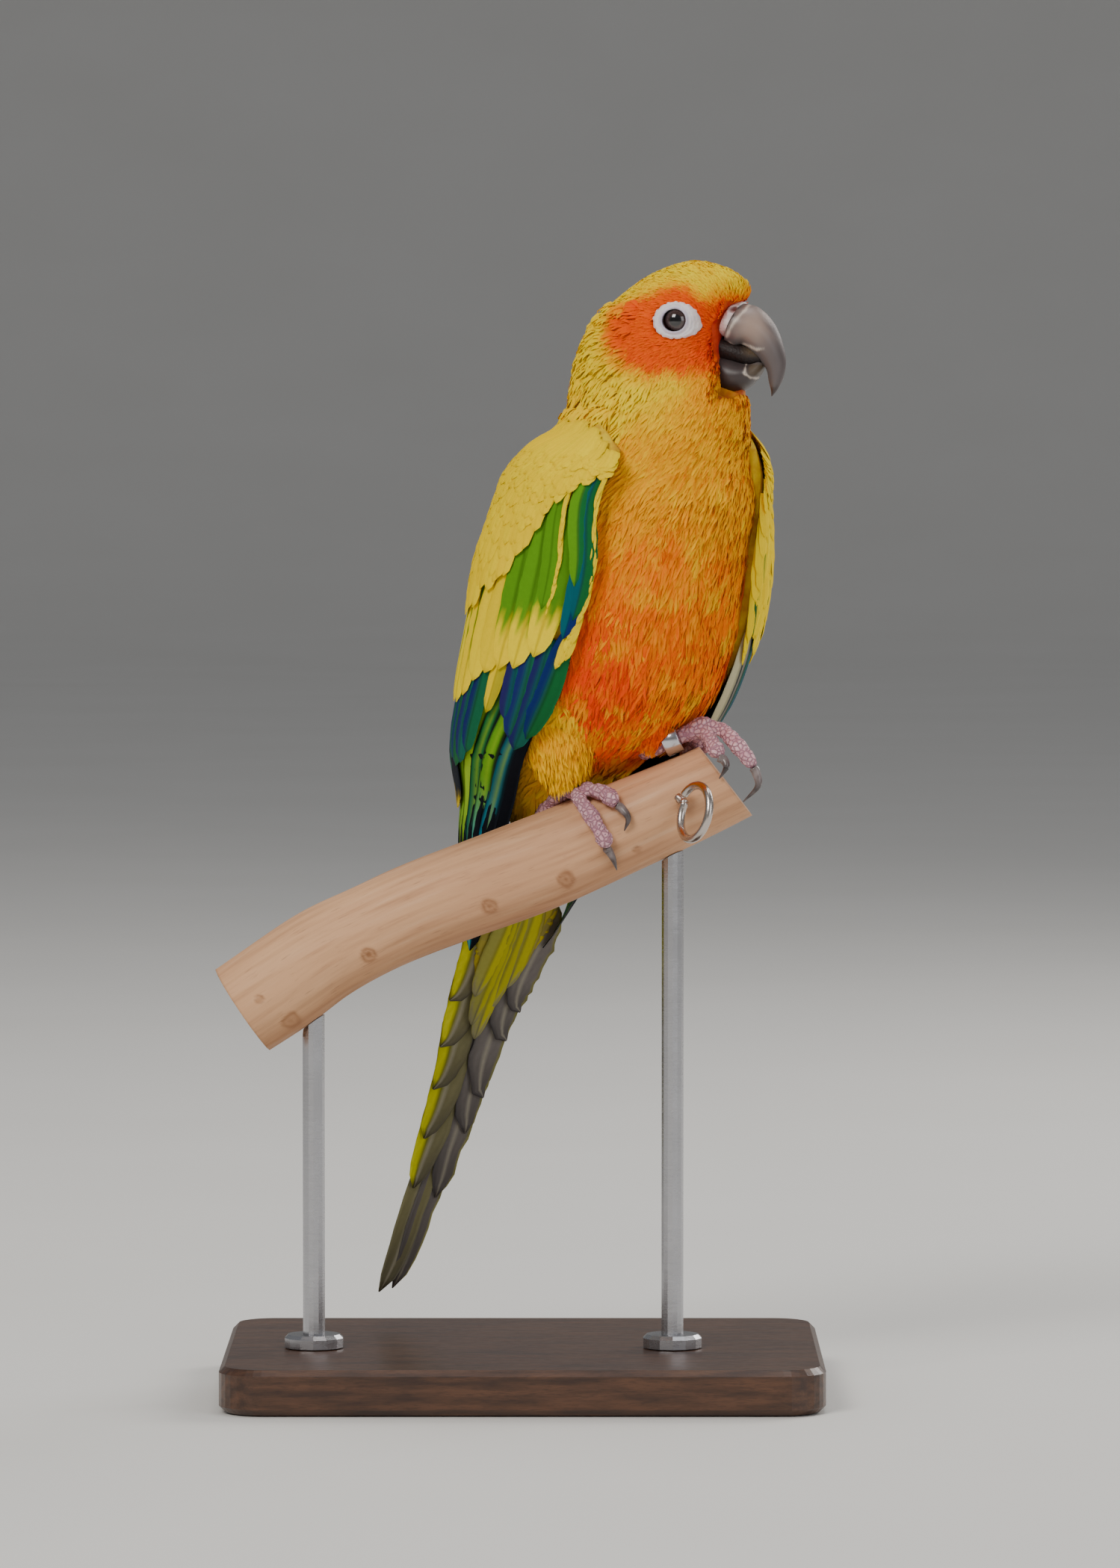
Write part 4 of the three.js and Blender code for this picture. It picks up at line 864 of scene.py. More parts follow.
WING_TOP, FRONT_SHARE = 256.0, 0.24
WING_LEMON = srgb(255, 220, 0)
WING_GREEN = srgb(92, 150, 26)
WING_DEEP_GREEN = srgb(28, 104, 52)
WING_TEAL = srgb(16, 92, 104)
WING_NAVY = srgb(24, 44, 104)
WING_PURPLE = srgb(44, 34, 92)
WING_BLACK = srgb(14, 18, 26)
WING_CYAN = srgb(40, 160, 196)
WING_LIME = srgb(160, 204, 40)
WING_PALE = srgb(236, 226, 170)


def plain_vane(color, shade=0.12):
    tone = rng.uniform(0.94, 1.05)

    def colour(s, u, top):
        # painted shade: the webs are painted darker towards their edges near the root, by the amount shade,
        # where neighbouring vanes lie over them; the dark line down the middle is the shaft
        fade = 1 - shade * np.abs(u) * (1 - s) - 0.10 * bell(u, 0.06)
        return np.asarray(color) * tone * np.broadcast_to(fade, np.broadcast(s, u).shape)[..., None]
    return colour


def two_tone(inner, outer, split=0.0, tip=None, tip_from=0.8, soft=0.18, flip=1.0):
    """A vane whose two webs differ, with a tip of its own colour."""
    tone = rng.uniform(0.92, 1.08)

    def colour(s, u, top):
        s, u = np.broadcast_arrays(s, u)
        c = blend(inner, outer, ramp(u * flip - split, -soft, soft))
        if tip is not None:
            c = blend(c, tip, ramp(s + 0.06 * np.cos(9 * u), tip_from - 0.07, tip_from + 0.07))
        return c * (1 - 0.35 * bell(u, 0.05))[..., None] * tone
    return colour


def striped(near, far, side):
    """Long outer web in bright stripes that change along it, with a dark edge, shaft and inner web."""
    tone = rng.uniform(0.9, 1.1)

    def colour(s, u, top):
        s, u = np.broadcast_arrays(s, u)
        bright = blend(near, far, ramp(s, 0.35, 0.85))
        bright = blend(bright, WING_LIME * 0.8, bell(u * side + 0.45, 0.14) * 0.5)
        c = blend(bright, WING_BLACK, ramp(u * side, -0.12, 0.06))
        c = blend(c, WING_BLACK, ramp(-u * side, 0.86, 0.97))
        return c * (1 - 0.5 * bell(u * side + 0.02, 0.05))[..., None] * tone
    return colour


# Outer webs of the flight feathers, near the root and towards the tip, from the outermost feather in
FLIGHT_WEBS = [(WING_TEAL, WING_CYAN), (WING_GREEN, WING_CYAN), (WING_DEEP_GREEN, WING_TEAL),
               (WING_LIME, WING_GREEN), (WING_GREEN, WING_LIME), (WING_LIME, WING_GREEN),
               (WING_GREEN, WING_CYAN), (WING_CYAN, WING_TEAL), (WING_TEAL, WING_NAVY),
               (WING_NAVY, WING_DEEP_GREEN), (WING_DEEP_GREEN, WING_GREEN)]
# Blue coverts, a long patch at the front edge and one behind it: root and tip (height, share), half width
BLUE_COVERTS = [((204, 0.02), (176, 0.0), 3.4), ((203, 0.07), (173, 0.03), 3.6),
                ((203, 0.12), (176, 0.07), 3.6), ((202, 0.17), (181, 0.12), 3.2),
                ((200, 0.31), (172, 0.3), 3.0), ((200, 0.37), (169, 0.36), 3.2),
                ((199, 0.43), (168, 0.42), 3.4), ((198, 0.49), (170, 0.49), 3.6),
                ((198, 0.56), (165, 0.56), 3.8), ((198, 0.64), (170, 0.65), 4.0),
                ((199, 0.74), (172, 0.75), 4.4), ((200, 0.85), (174, 0.86), 4.4),
                ((200, 0.95), (176, 0.95), 4.4)]
# Long feathers along the front edge, with the colours of their two webs
EDGE_COVERTS = [((252, 0.06), (217, 0.035), 2.8, WING_GREEN, WING_DEEP_GREEN),
                ((248, 0.026), (208, 0.012), 3.0, WING_TEAL, WING_DEEP_GREEN),
                ((234, 0.03), (203, 0.022), 2.8, WING_TEAL, WING_NAVY),
                ((243, 0.135), (211, 0.12), 2.6, WING_GREEN, WING_GREEN)]
# How low the greater coverts reach, and the yellow ones over the right wing, by share
GREATER_LOW = ([0.1, 0.2, 0.3, 0.4, 0.55, 0.65, 1], [199, 194, 193, 188, 184, 190, 190])
YELLOW_LOW = ([0, 0.07, 0.14, 0.22, 0.35, 0.5, 0.65, 1], [246, 243, 238, 227, 213, 209, 206, 206])


def wing_form(side, name):
    """A closed form under the coverts, so that no gap shows between them."""
    share = np.linspace(0.005, 1.03, 30)
    rings = []
    for h in np.concatenate([np.linspace(132, 250, 40), np.linspace(253, 261, 8)]):
        outer = -1.9 - 1.4 * ramp(-h, -200, -188) - 0.05 * max(180 - h, 0)
        inner = -5.2 - 2.0 * ramp(h, 160, 200) * (1 - ramp(h, 246, 262))
        near, far = (on_wing(np.full(30, h), share, side, lift) for lift in (outer, inner))
        rings.append(np.concatenate([near, far[::-1]]))
    rings = np.array(rings)
    # painted shade: this form shows only in the gaps between the feathers and is painted darker than they are,
    # as shade in those gaps: lemon at 0.75 of its brightness above, and low down teal at 0.4 on the right wing
    # and black on the left
    low = WING_TEAL * 0.4 if side < 0 else WING_BLACK
    loft_piece(f"{name}_skin", rings, SKIN, (name,),
               blend(WING_LEMON * 0.75, low, 1 - ramp(rings[..., 2], 176, 196)))


def flight_feathers(side, name):
    flight = Vanes(20, 10, 0.14)
    for i, webs in enumerate(FLIGHT_WEBS):
        k = i / (len(FLIGHT_WEBS) - 1)
        if side > 0 and i < 2:
            webs = (WING_PALE, blend(WING_PALE, WING_GREEN, i % 2))
        flight.lay(side, blend((190, 0.04), (180, 0.72), k),
                   blend((117, 0.07), (143, 0.88), k ** 0.8), (-2.2 + 0.06 * i, -1.9 + 0.2 * i), 3.9,
                   striped(*webs, side), 0.06, point=0.3, root=0.8, camber=0.05, ragged=0.01)
    for k in np.linspace(0, 1, 8):
        web = (WING_BLACK, WING_BLACK * 1.8) if k < 0.4 else (WING_NAVY, WING_DEEP_GREEN)
        end = WING_LEMON if k < 0.3 else (None if k < 0.6 else WING_GREEN)
        paint = two_tone(*web, -0.2, end, 0.93, 0.2, side)
        flight.lay(side, blend((196, 0.42), (200, 0.95), k), blend((156, 0.56), (166, 0.97), k),
                   (-1.1, -0.1), 5.0, paint, 0.08, point=0.26, root=0.7)
    flight.build(f"{name}_flight", VANE)


def greater_paint(side, share):
    """Green with yellow tips, then yellow, then green strips towards the back; pale in front on the left."""
    if side > 0 and share < FRONT_SHARE:
        return two_tone(WING_LEMON, WING_PALE, 0.3, WING_LEMON, 0.8, 0.2, side)
    if share < FRONT_SHARE:
        return two_tone(WING_GREEN, WING_GREEN * 0.8, 0.0, WING_LEMON, rng.uniform(0.66, 0.74), 0.3, side)
    if 0.36 < share < 0.62:
        return two_tone(WING_LEMON, WING_GREEN * 0.85, -0.1, WING_LEMON, rng.uniform(0.6, 0.8), 0.12, side)
    if share > 0.75:
        return two_tone(WING_LEMON, WING_GREEN * 0.9, 0.3, WING_LEMON, 0.8, 0.2, side)
    return plain_vane(WING_LEMON, 0.2)


def coverts(side, name):
    cover = Vanes(16, 10, 0.12)
    for root, tip, half in BLUE_COVERTS:
        tint = rng.uniform(0, 1)
        base, edge = (blend(WING_NAVY, WING_PURPLE, tint),
                      blend(WING_TEAL, WING_DEEP_GREEN, 1 - tint))
        if side > 0 and root[1] <= 0.1:
            base, edge = WING_BLACK * 1.5, blend(WING_PALE, WING_NAVY, tint)
        paint = two_tone(base, edge, -0.25, None, 0.86, 0.3, side)
        cover.lay(side, root, tip, (-1.1, 0.25), half, paint, 0.07, ragged=0.02)
    cover.lay(side, (206, 0.235), (183, 0.232), (-1.2, -0.2), 2.6,
              two_tone(WING_LEMON, OLIVE, 0, OLIVE, 0.9, 0.3, side), point=0.5)
    for k in np.linspace(0, 1, 15):
        share = 0.1 + 0.86 * k
        low = np.interp(share, *GREATER_LOW) + rng.uniform(-1.5, 1.5)
        cover.lay(side, (224 + 14 * (share < 0.26), share + 0.01), (low, share), (-1.2, 0.45), 4.2,
                  greater_paint(side, share), 0.08)
    for root, tip, half, *webs in EDGE_COVERTS:
        split, soft = 0.0, 0.25
        if side > 0:
            webs, split, soft = (WING_LEMON, WING_DEEP_GREEN), 0.35, 0.2
        cover.lay(side, root, tip, (-0.7, 0.7), half, two_tone(*webs, split, None, 0.85, soft, side), 0.06,
                  point=0.5)
    cover.build(f"{name}_coverts", VANE)


def small_coverts(side, name):
    """Median and lesser coverts, smaller towards the shoulder, and narrow yellow feathers at two edges."""
    small = Vanes(9, 6, 0.09)
    z, row = 222.0, 0
    while z < 261.2:
        up = ramp(z, 222, 256)
        length, half = 19 - 11 * up, 3.6 - 1.9 * up
        gap = half * (1.0 + 0.12 * up) / (42 * np.radians(126))
        for share in np.arange(0.0 + 0.5 * gap * (row % 2), 1.0, gap):
            share += rng.uniform(-0.3, 0.3) * gap
            start = (z + rng.uniform(-1, 1), share)
            end = (start[0] - length * rng.uniform(0.88, 1.1), share + rng.uniform(-0.015, 0.015))
            if side < 0 and end[0] < np.interp(share, *YELLOW_LOW):
                continue
            rise = 0.6 + rng.uniform(0, 0.3)
            tone = blend(WING_LEMON, YELLOW, rng.uniform(0, 0.5) + 0.4 * ramp(share, 0.5, 0.65))
            small.lay(side, start, end, (-0.75, rise), half * rng.uniform(0.9, 1.15), plain_vane(tone, 0.28),
                      -side * rng.normal(0, 0.05), point=0.5, root=0.6, ragged=0.06)
        z += 3.4 - 1.5 * up
        row += 1
    for z in np.concatenate([np.arange(204, 222, 1.1), np.arange(222, 250, 2.2), np.arange(250, 257, 1.1)]):
        low = ramp(-z, -222, -212)
        start = (z, rng.uniform(-0.012, 0.0 + 0.012 * low))
        end = (z - 9, start[1] + rng.uniform(-0.006, 0.006))
        small.lay(side, start, end, (-0.5, 0.5), 0.45 + 0.8 * low, plain_vane(WING_LEMON, 0.2), point=0.5,
                  root=0.6, ragged=0.06)
    for z in np.arange(218, 246, 2.0):
        share = rng.uniform(0.1, 0.108)
        small.lay(side, (z, share), (z - 9, share - 0.005), (-0.3, 0.62), 0.6, plain_vane(WING_LEMON, 0.2),
                  point=0.5, root=0.6, ragged=0.06)
    small.build(f"{name}_lesser", PLUME)


for wing_side, wing_name in ((-1, "wing_right"), (1, "wing_left")):
    for build in (wing_form, flight_feathers, coverts, small_coverts):
        build(wing_side, wing_name)


# Tail: six feathers a side, graduated, the longest at the back
TAIL_TIPS = [(20.5, 21.4), (50, 47), (64, 65), (78, 75), (90, 91), (103, 99)]
TAIL_ROOT = 140
OLIVE_COVERTS = [(136, 96, -3.2), (138, 100, 0.6), (136, 92, -1.0), (134, 104, -5.2), (138, 106, 3.4)]
TAIL_WIDTHS = [3.6, 4.4, 4.6, 4.8, 4.8, 4.6]
TAIL_FACE, TAIL_SIDE = facing(TAIL_TURN), leftward(TAIL_TURN)
TAIL_OLIVE = srgb(150, 146, 52)
TAIL_LIME = srgb(206, 204, 30)
TAIL_DUSK = srgb(118, 112, 108)
TAIL_DARK = srgb(66, 62, 62)
TAIL_PALE_SHAFT = srgb(176, 170, 150)
TAIL_GREEN = srgb(66, 110, 30)
TAIL_BLUE = srgb(20, 60, 96)


def across(s, start, end):
    return np.interp(s, [0, 1], [start, end])


def tail_paint(index, side):
    tone = rng.uniform(0.9, 1.08)

    def colour(s, u, top):
        s, u = np.broadcast_arrays(s, u)
        # top is the face towards the under side of the bird, which the camera sees
        if top:
            outer = -u * side
            base = blend(TAIL_OLIVE, TAIL_DUSK, ramp(s, 0.1, 0.5) * (0.6 if side < 0 else 1.0))
            edge = 0.45 if side > 0 else 0.2
            dark = ramp(s, 0.75, 1.0) * 0.6 + ramp(-outer, 0.5, 0.95) * edge
            base = blend(base, TAIL_DARK, np.clip(dark, 0, 1))
            if side < 0 and index >= 1:
                base = blend(base, TAIL_DARK * 0.6, ramp(outer, 0.0, 0.12))
                base = blend(base, TAIL_LIME, ramp(outer, 0.2, 0.34) * (1 - ramp(s, 0.96, 1.0)))
            if side > 0:
                base = blend(base, TAIL_OLIVE, ramp(outer, 0.8, 0.95) * 0.8)
            base = base * (1 + 0.06 * np.sin(46 * s + 14 * np.abs(u)))[..., None]
        else:
            base = blend(TAIL_GREEN, TAIL_BLUE, ramp(s + 0.1 * np.abs(u), 0.45, 0.9))
        shaft = bell(u, 0.055)
        base = blend(base, TAIL_PALE_SHAFT if top else TAIL_DARK, shaft * 0.55)
        return base * tone
    return colour



def build_tail():
    z = np.linspace(116, 158, 20)
    row = rows_at(TAIL_TABLE, z)
    angle = round_turn(24)
    half = (row[:, 3] - 1.2) * 0.62
    thick = np.maximum((row[:, 4] - 1.3) * 0.7, 0.2)
    centre = np.stack([row[:, 1], row[:, 2], z], -1)
    rings = (centre[:, None] + (half[:, None] * np.cos(angle))[..., None] * TAIL_SIDE
             + (thick[:, None] * np.sin(angle))[..., None] * TAIL_FACE)
    # painted shade: this core shows only between the tail feathers; near the root it takes the olive of the
    # coverts at 0.6 of its brightness, as shade under them, and lower down it is the tail's own dark colour
    loft_piece("tail_skin", rings, SKIN, ("tail",),
               blend(TAIL_DARK, OLIVE * 0.6, ramp(rings[..., 2], 110, 140)))

    tail = Vanes(26, 8, 0.14)
    s = tail.s

    def lay(heights, offset, layer, half, paint, face=1, **shape):
        row = rows_at(TAIL_TABLE, heights)
        line = np.stack([row[:, 1], row[:, 2], row[:, 0]], -1) + offset[:, None] * TAIL_SIDE
        line = line + layer[:, None] * TAIL_FACE
        tail.add(line, np.broadcast_to(TAIL_FACE * face, line.shape), half, paint, **shape)

    for index, (tips, width) in enumerate(zip(TAIL_TIPS, TAIL_WIDTHS)):
        for side in (-1, 1):
            heights = TAIL_ROOT + (tips[side > 0] - TAIL_ROOT) * s
            row = rows_at(TAIL_TABLE, heights)
            blunt = 0.2 + 0.03 * index
            shape = np.sqrt(np.clip(1 - (np.clip(s - 1 + blunt, 0, 1) / blunt)**2.2, 0.004, 1))
            edge = row[:, 3] - width * shape - 0.35 * (5 - index) * ramp(heights, 40, 100)
            out = np.clip(edge, 0.9, 1.7 + 2.1 * index) * (0.25 + 0.75 * ramp(s, 0, 0.45))
            layer = (-1.6 + 0.62 * index) * np.interp(heights, [20, 60, 140], [0.45, 0.8, 1.2]) + 0.1 * side
            lay(heights, out * side, layer, width, tail_paint(index, side), roll=0.07 * side, camber=-0.05,
                point=blunt, root=0.5, ragged=0.03 if side < 0 else 0.07)
    # coverts under and over the root of the tail
    for face, near, far, grey in ((1, OLIVE, GREY_DOWN, 0.7), (-1, TAIL_GREEN, YELLOW, 0.5)):
        for _ in range(26):
            height, length = rng.uniform(128, 152), rng.uniform(16, 27)
            heights = height - length * s
            row = rows_at(TAIL_TABLE, heights)
            offset = rng.uniform(-0.6, 0.6) * row[:, 3] * across(s, 1, 0.75)
            rounding = np.interp(np.abs(offset / row[:, 3]), [0, 0.7], [0.9, 0.55])
            paint = plain_vane(blend(near, far, rng.uniform(0, grey)), 0.2)
            layer = face * (row[:, 4] * rounding * across(s, 0.6, 1.1))
            lay(heights, offset, layer, 3.4, paint, face, point=0.5, root=0.7, ragged=0.06)
    for root, tip, offset in OLIVE_COVERTS:
        heights = root + (tip - root) * s
        layer = rows_at(TAIL_TABLE, heights)[:, 4] * across(s, 0.95, 1.15)
        lay(heights, offset * across(s, 0.7, 1.0), layer, 3.3,
            two_tone(srgb(178, 172, 40), srgb(150, 148, 70), 0, srgb(132, 128, 96), 0.9), point=0.4, root=0.7)
    lay(134 + (109.5 - 134) * s, across(s, 3.5, 5.0), across(s, 3.8, 2.9), 3.4,
        two_tone(srgb(150, 140, 60), OLIVE, 0, srgb(160, 150, 90), 0.9), point=0.75, root=0.8)
    tail.build("tail_feathers", VANE)


build_tail()


# Face: eyes, the bare ring round each eye, cere, bill and tongue
BILL_UPPER = [(22.5, 291.5, 17.7, 281.4, 7.1), (23.6, 291.3, 18.5, 280.9, 7.1), (26.2, 290.6, 20.2, 279.8, 7.1),
              (29, 288.4, 22.6, 280.2, 6.5), (31.4, 285.2, 25.4, 277.8, 5.5), (33.1, 281, 27.6, 275.7, 4.3),
              (34, 276.4, 28.9, 273.6, 3),
              (33.4, 272, 29.4, 270.9, 2.1), (31.9, 268.8, 30, 268.4, 1.1), (30.4, 266.9, 30.1, 266.8, 0.35)]
CERE = [(20.2, 291.6, 16.6, 283.2, 7.6), (21.6, 292, 17.4, 282.6, 7.8), (22.8, 291.9, 18, 282.2, 7.5)]
BILL_LOWER = [(16.4, 278.4, 17, 267.4, 6.1), (19.5, 277.2, 20.3, 267.3, 6.4), (22.6, 276.1, 23.5, 268.8, 6),
              (25, 275.9, 25.8, 270.8, 5), (27, 276.4, 27.4, 273, 3.4), (28.2, 275.7, 28.3, 274.7, 1.2)]
TONGUE = [(16.8, 279.6, 16.8, 278.1, 2), (20, 279.5, 20, 277.5, 2.6), (23.4, 278.9, 23.4, 276.9, 2.3),
          (25.2, 277.9, 25.2, 277, 1.2)]
MOUTH = [(15, 283.5, 15, 276, 4.6), (20, 281.8, 20, 275.5, 5.0), (24, 280.6, 24.2, 274.6, 4.6),
         (27, 279.0, 27, 275.4, 3.2), (28.6, 277.6, 28.6, 276.4, 1.4)]
# Flaky pale edges of the horn, as (forward, height) lines
FLAKES_UPPER = [(18.0, 281.6), (20.3, 280.6), (21.7, 279.5), (23.4, 280.6), (25.4, 279.9),
                (27.2, 279.2), (29.2, 279.5)]
FLAKES_LOWER = [(18.0, 279.0), (20.2, 278.3), (22.0, 277.4), (24.0, 275.7), (24.3, 272.9),
                (25.5, 271.7), (27.6, 271.6)]
EYE_FORWARD, EYE_HEIGHT, EYE_SIDE, EYE_RADIUS = 7.3, 287.0, 11.7, 4.2
EYE_SIDES, LID_SIDES, CLAW_ROWS, CLAW_SIDES = 72, 96, 36, 24
NOSTRIL_AT = (21.2, 289.9)

HORN_GREY = srgb(100, 92, 92)
HORN_WARM = srgb(172, 148, 134)
HORN_DARK = srgb(62, 52, 50)
HORN_PALE = srgb(226, 214, 200)
CERE_PINK = srgb(228, 204, 202)


def bill_rings(rows, count, sides, ridge=0.0):
    rows = smooth_line(rows, count)
    top = on_head(rows[:, 0], rows[:, 1])
    low = on_head(rows[:, 2], rows[:, 3])
    middle, up = (top + low) / 2, (top - low) / 2
    angle = round_turn(sides)
    side = np.cos(angle) * (1 - ridge * np.clip(np.sin(angle), 0, 1)**3)
    return (middle[:, None] + up[:, None] * np.sin(angle)[None, :, None]
            + (rows[:, 4:] * side)[..., None] * HEAD_SIDE)


def near_line(forward, height, line):
    """Distance in the side picture from places to a line."""
    q = np.stack([forward, height], -1)
    best = np.full(forward.shape, 1e9)
    for a, b in zip(np.array(line)[:-1], np.array(line)[1:]):
        d = b - a
        t = np.clip(np.sum((q - a) * d, -1) / np.sum(d * d), 0, 1)
        best = np.minimum(best, np.linalg.norm(q - a - t[..., None] * d, axis=-1))
    return best


def horn_material():
    m = Nodes("horn_bill", 0.42, Specular_IOR_Level=0.45, Coat_Weight=0.15, Coat_Roughness=0.35)
    streak = m.noise(130, 5, stretch=(1.0, 1.0, 0.35))
    relief = m.math("ADD", streak, m.math("MULTIPLY", m.noise(900, 3), 0.4))
    color = m.mix(m.range(streak, 0.3, 0.7, 0, 0.5), m.color(), srgb(150, 138, 132), "SOFT_LIGHT")
    return m.finish(color, relief, 0.25, 0.0003, m.range(streak, 0.3, 0.7, 0.34, 0.58))


def bare_skin_material():
    m = Nodes("skin_bare", 0.55, Subsurface_Weight=0.1, Subsurface_Scale=0.001, Specular_IOR_Level=0.35)
    fold = m.noise(450, 4)
    relief = m.math("ADD", m.math("MULTIPLY", m.voronoi(1500), 0.7), fold)
    color = m.mix(m.range(fold, 0.3, 0.7, 0.0, 0.35), m.color(), srgb(196, 178, 190), "MULTIPLY")
    return m.finish(color, relief, 0.5, 0.0003)


HORN = horn_material()
BARE = bare_skin_material()


def away_from_middle(places, amount):
    """Moves places of the head sideways, away from its middle plane."""
    return places + (amount * np.sign(head_frame(places)[1]))[..., None] * HEAD_SIDE


def build_bill():
    rings = bill_rings(BILL_UPPER, 70, 64, 0.16)
    forward, height = head_frame(rings)[0], rings[..., 2]
    flakes = near_line(forward, height, FLAKES_UPPER) + 0.25 * ripple(rings, 0.9, 5.0)
    rings = away_from_middle(rings, 0.22 * bell(flakes, 0.35))
    warm = np.exp(-(((forward - 26.5) / 4.2)**2 + ((height - 285.5) / 4.6)**2) / 1.2)
    culmen = ramp(forward - np.interp(height, [268, 276, 282, 291], [30.6, 32.4, 31.6, 24]), 0.2, 1.6)
    low = 1 - ramp(height - np.interp(forward, [18, 24, 30], [282.4, 281.6, 279]), -0.6, 1.2)
    edge = near_line(forward, height, [(24.2, 292), (24.1, 289.8), (21.6, 286.6), (19.0, 282.6)])
    tip = 1 - ramp(height + 0.8 * ripple(rings, 1.2, 1.0), 268.8, 270.6)
    color = layered(HORN_GREY, (HORN_WARM, warm * 0.9),
                    (srgb(88, 78, 78), culmen * (1 - ramp(height, 284, 290)) * 0.8),
                    (srgb(92, 88, 92), low * 0.45 * (1 - ramp(forward, 27, 30))),
                    (HORN_DARK, tip * 0.95), (HORN_PALE, bell(flakes, 0.28) * 0.8),
                    (HORN_PALE, bell(edge + 0.2 * ripple(rings, 0.8, 7.0), 0.4) * 0.75))
    color = color * (1 + 0.07 * ripple(rings * (1, 1, 0.5), 1.6, 4.0))[..., None]
    loft_piece("bill_upper_horn", rings, HORN, ("bill_upper",), color)

    rings = bill_rings(BILL_LOWER, 48, 56)
    forward, height = head_frame(rings)[0], rings[..., 2]
    flakes = near_line(forward, height, FLAKES_LOWER) + 0.25 * ripple(rings, 0.9, 8.0)
    rings = away_from_middle(rings, 0.2 * bell(flakes, 0.35))
    top = ramp(height - np.interp(forward, [17, 22, 26], [277.6, 275.6, 275]), -0.3, 1.1)
    inside = ramp(forward, 24.4, 25.6) * ramp(height, 271.5, 273)
    color = layered(srgb(66, 58, 58), (srgb(40, 32, 30), ramp(-height, -272, -268)),
                    (srgb(104, 88, 66), inside * 0.7), (srgb(112, 106, 108), top * 0.8),
                    (HORN_PALE, bell(flakes, 0.25) * 0.75))
    loft_piece("bill_lower_horn", rings, HORN, ("bill_lower",), color)

    rings = bill_rings(TONGUE, 24, 32)
    loft_piece("tongue_tip", rings, BARE, ("tongue",),
               blend(srgb(70, 52, 50), srgb(40, 30, 30), ramp(head_frame(rings)[0], 20, 25)))

    # dark lining of the mouth, between the two halves of the bill
    rings = bill_rings(MOUTH, 20, 32)
    loft_piece("mouth_lining", rings, BARE, (),
               blend(srgb(34, 24, 22), srgb(98, 82, 62),
                     ramp(head_frame(rings)[0], 22, 26) * ramp(rings[..., 2], 276.5, 279)))

    rings = bill_rings(CERE, 26, 72)
    forward, side = head_frame(rings)
    hole = np.sqrt(((forward - NOSTRIL_AT[0]) / 1.25)**2 + ((rings[..., 2] - NOSTRIL_AT[1]) / 1.0)**2)
    nostril = np.abs(side) > 3
    dent = np.where(nostril, np.exp(-(hole / 0.75)**4) * 1.5 - 0.3 * bell(hole - 1.25, 0.3), 0)
    rings = away_from_middle(rings, -dent)
    rings = away_from_middle(rings, 0.16 * ripple(rings, 0.9, 2.0))
    # painted shade: the opening of each nostril is painted dark red-brown, as shade inside the hole
    color = layered(CERE_PINK, (srgb(240, 228, 224), np.clip(0.5 + 0.5 * ripple(rings, 1.3, 1.0), 0, 1)),
                    (srgb(214, 150, 140), bell(forward - 18.6, 1.1) * 0.35),
                    (srgb(120, 66, 60), np.where(nostril, np.exp(-(hole / 0.85)**4), 0)))
    loft_piece("cere_skin", rings, BARE, ("cere",), color)


def eye_material():
    m = Nodes("eye_glass", 0.08, Coat_Weight=1.0, Coat_Roughness=0.02, Specular_IOR_Level=0.6)
    fleck = m.range(m.noise(2600, 4), 0.35, 0.65, 0.0, 0.35)
    return m.finish(m.mix(fleck, m.color(), srgb(120, 92, 78), "SOFT_LIGHT"))


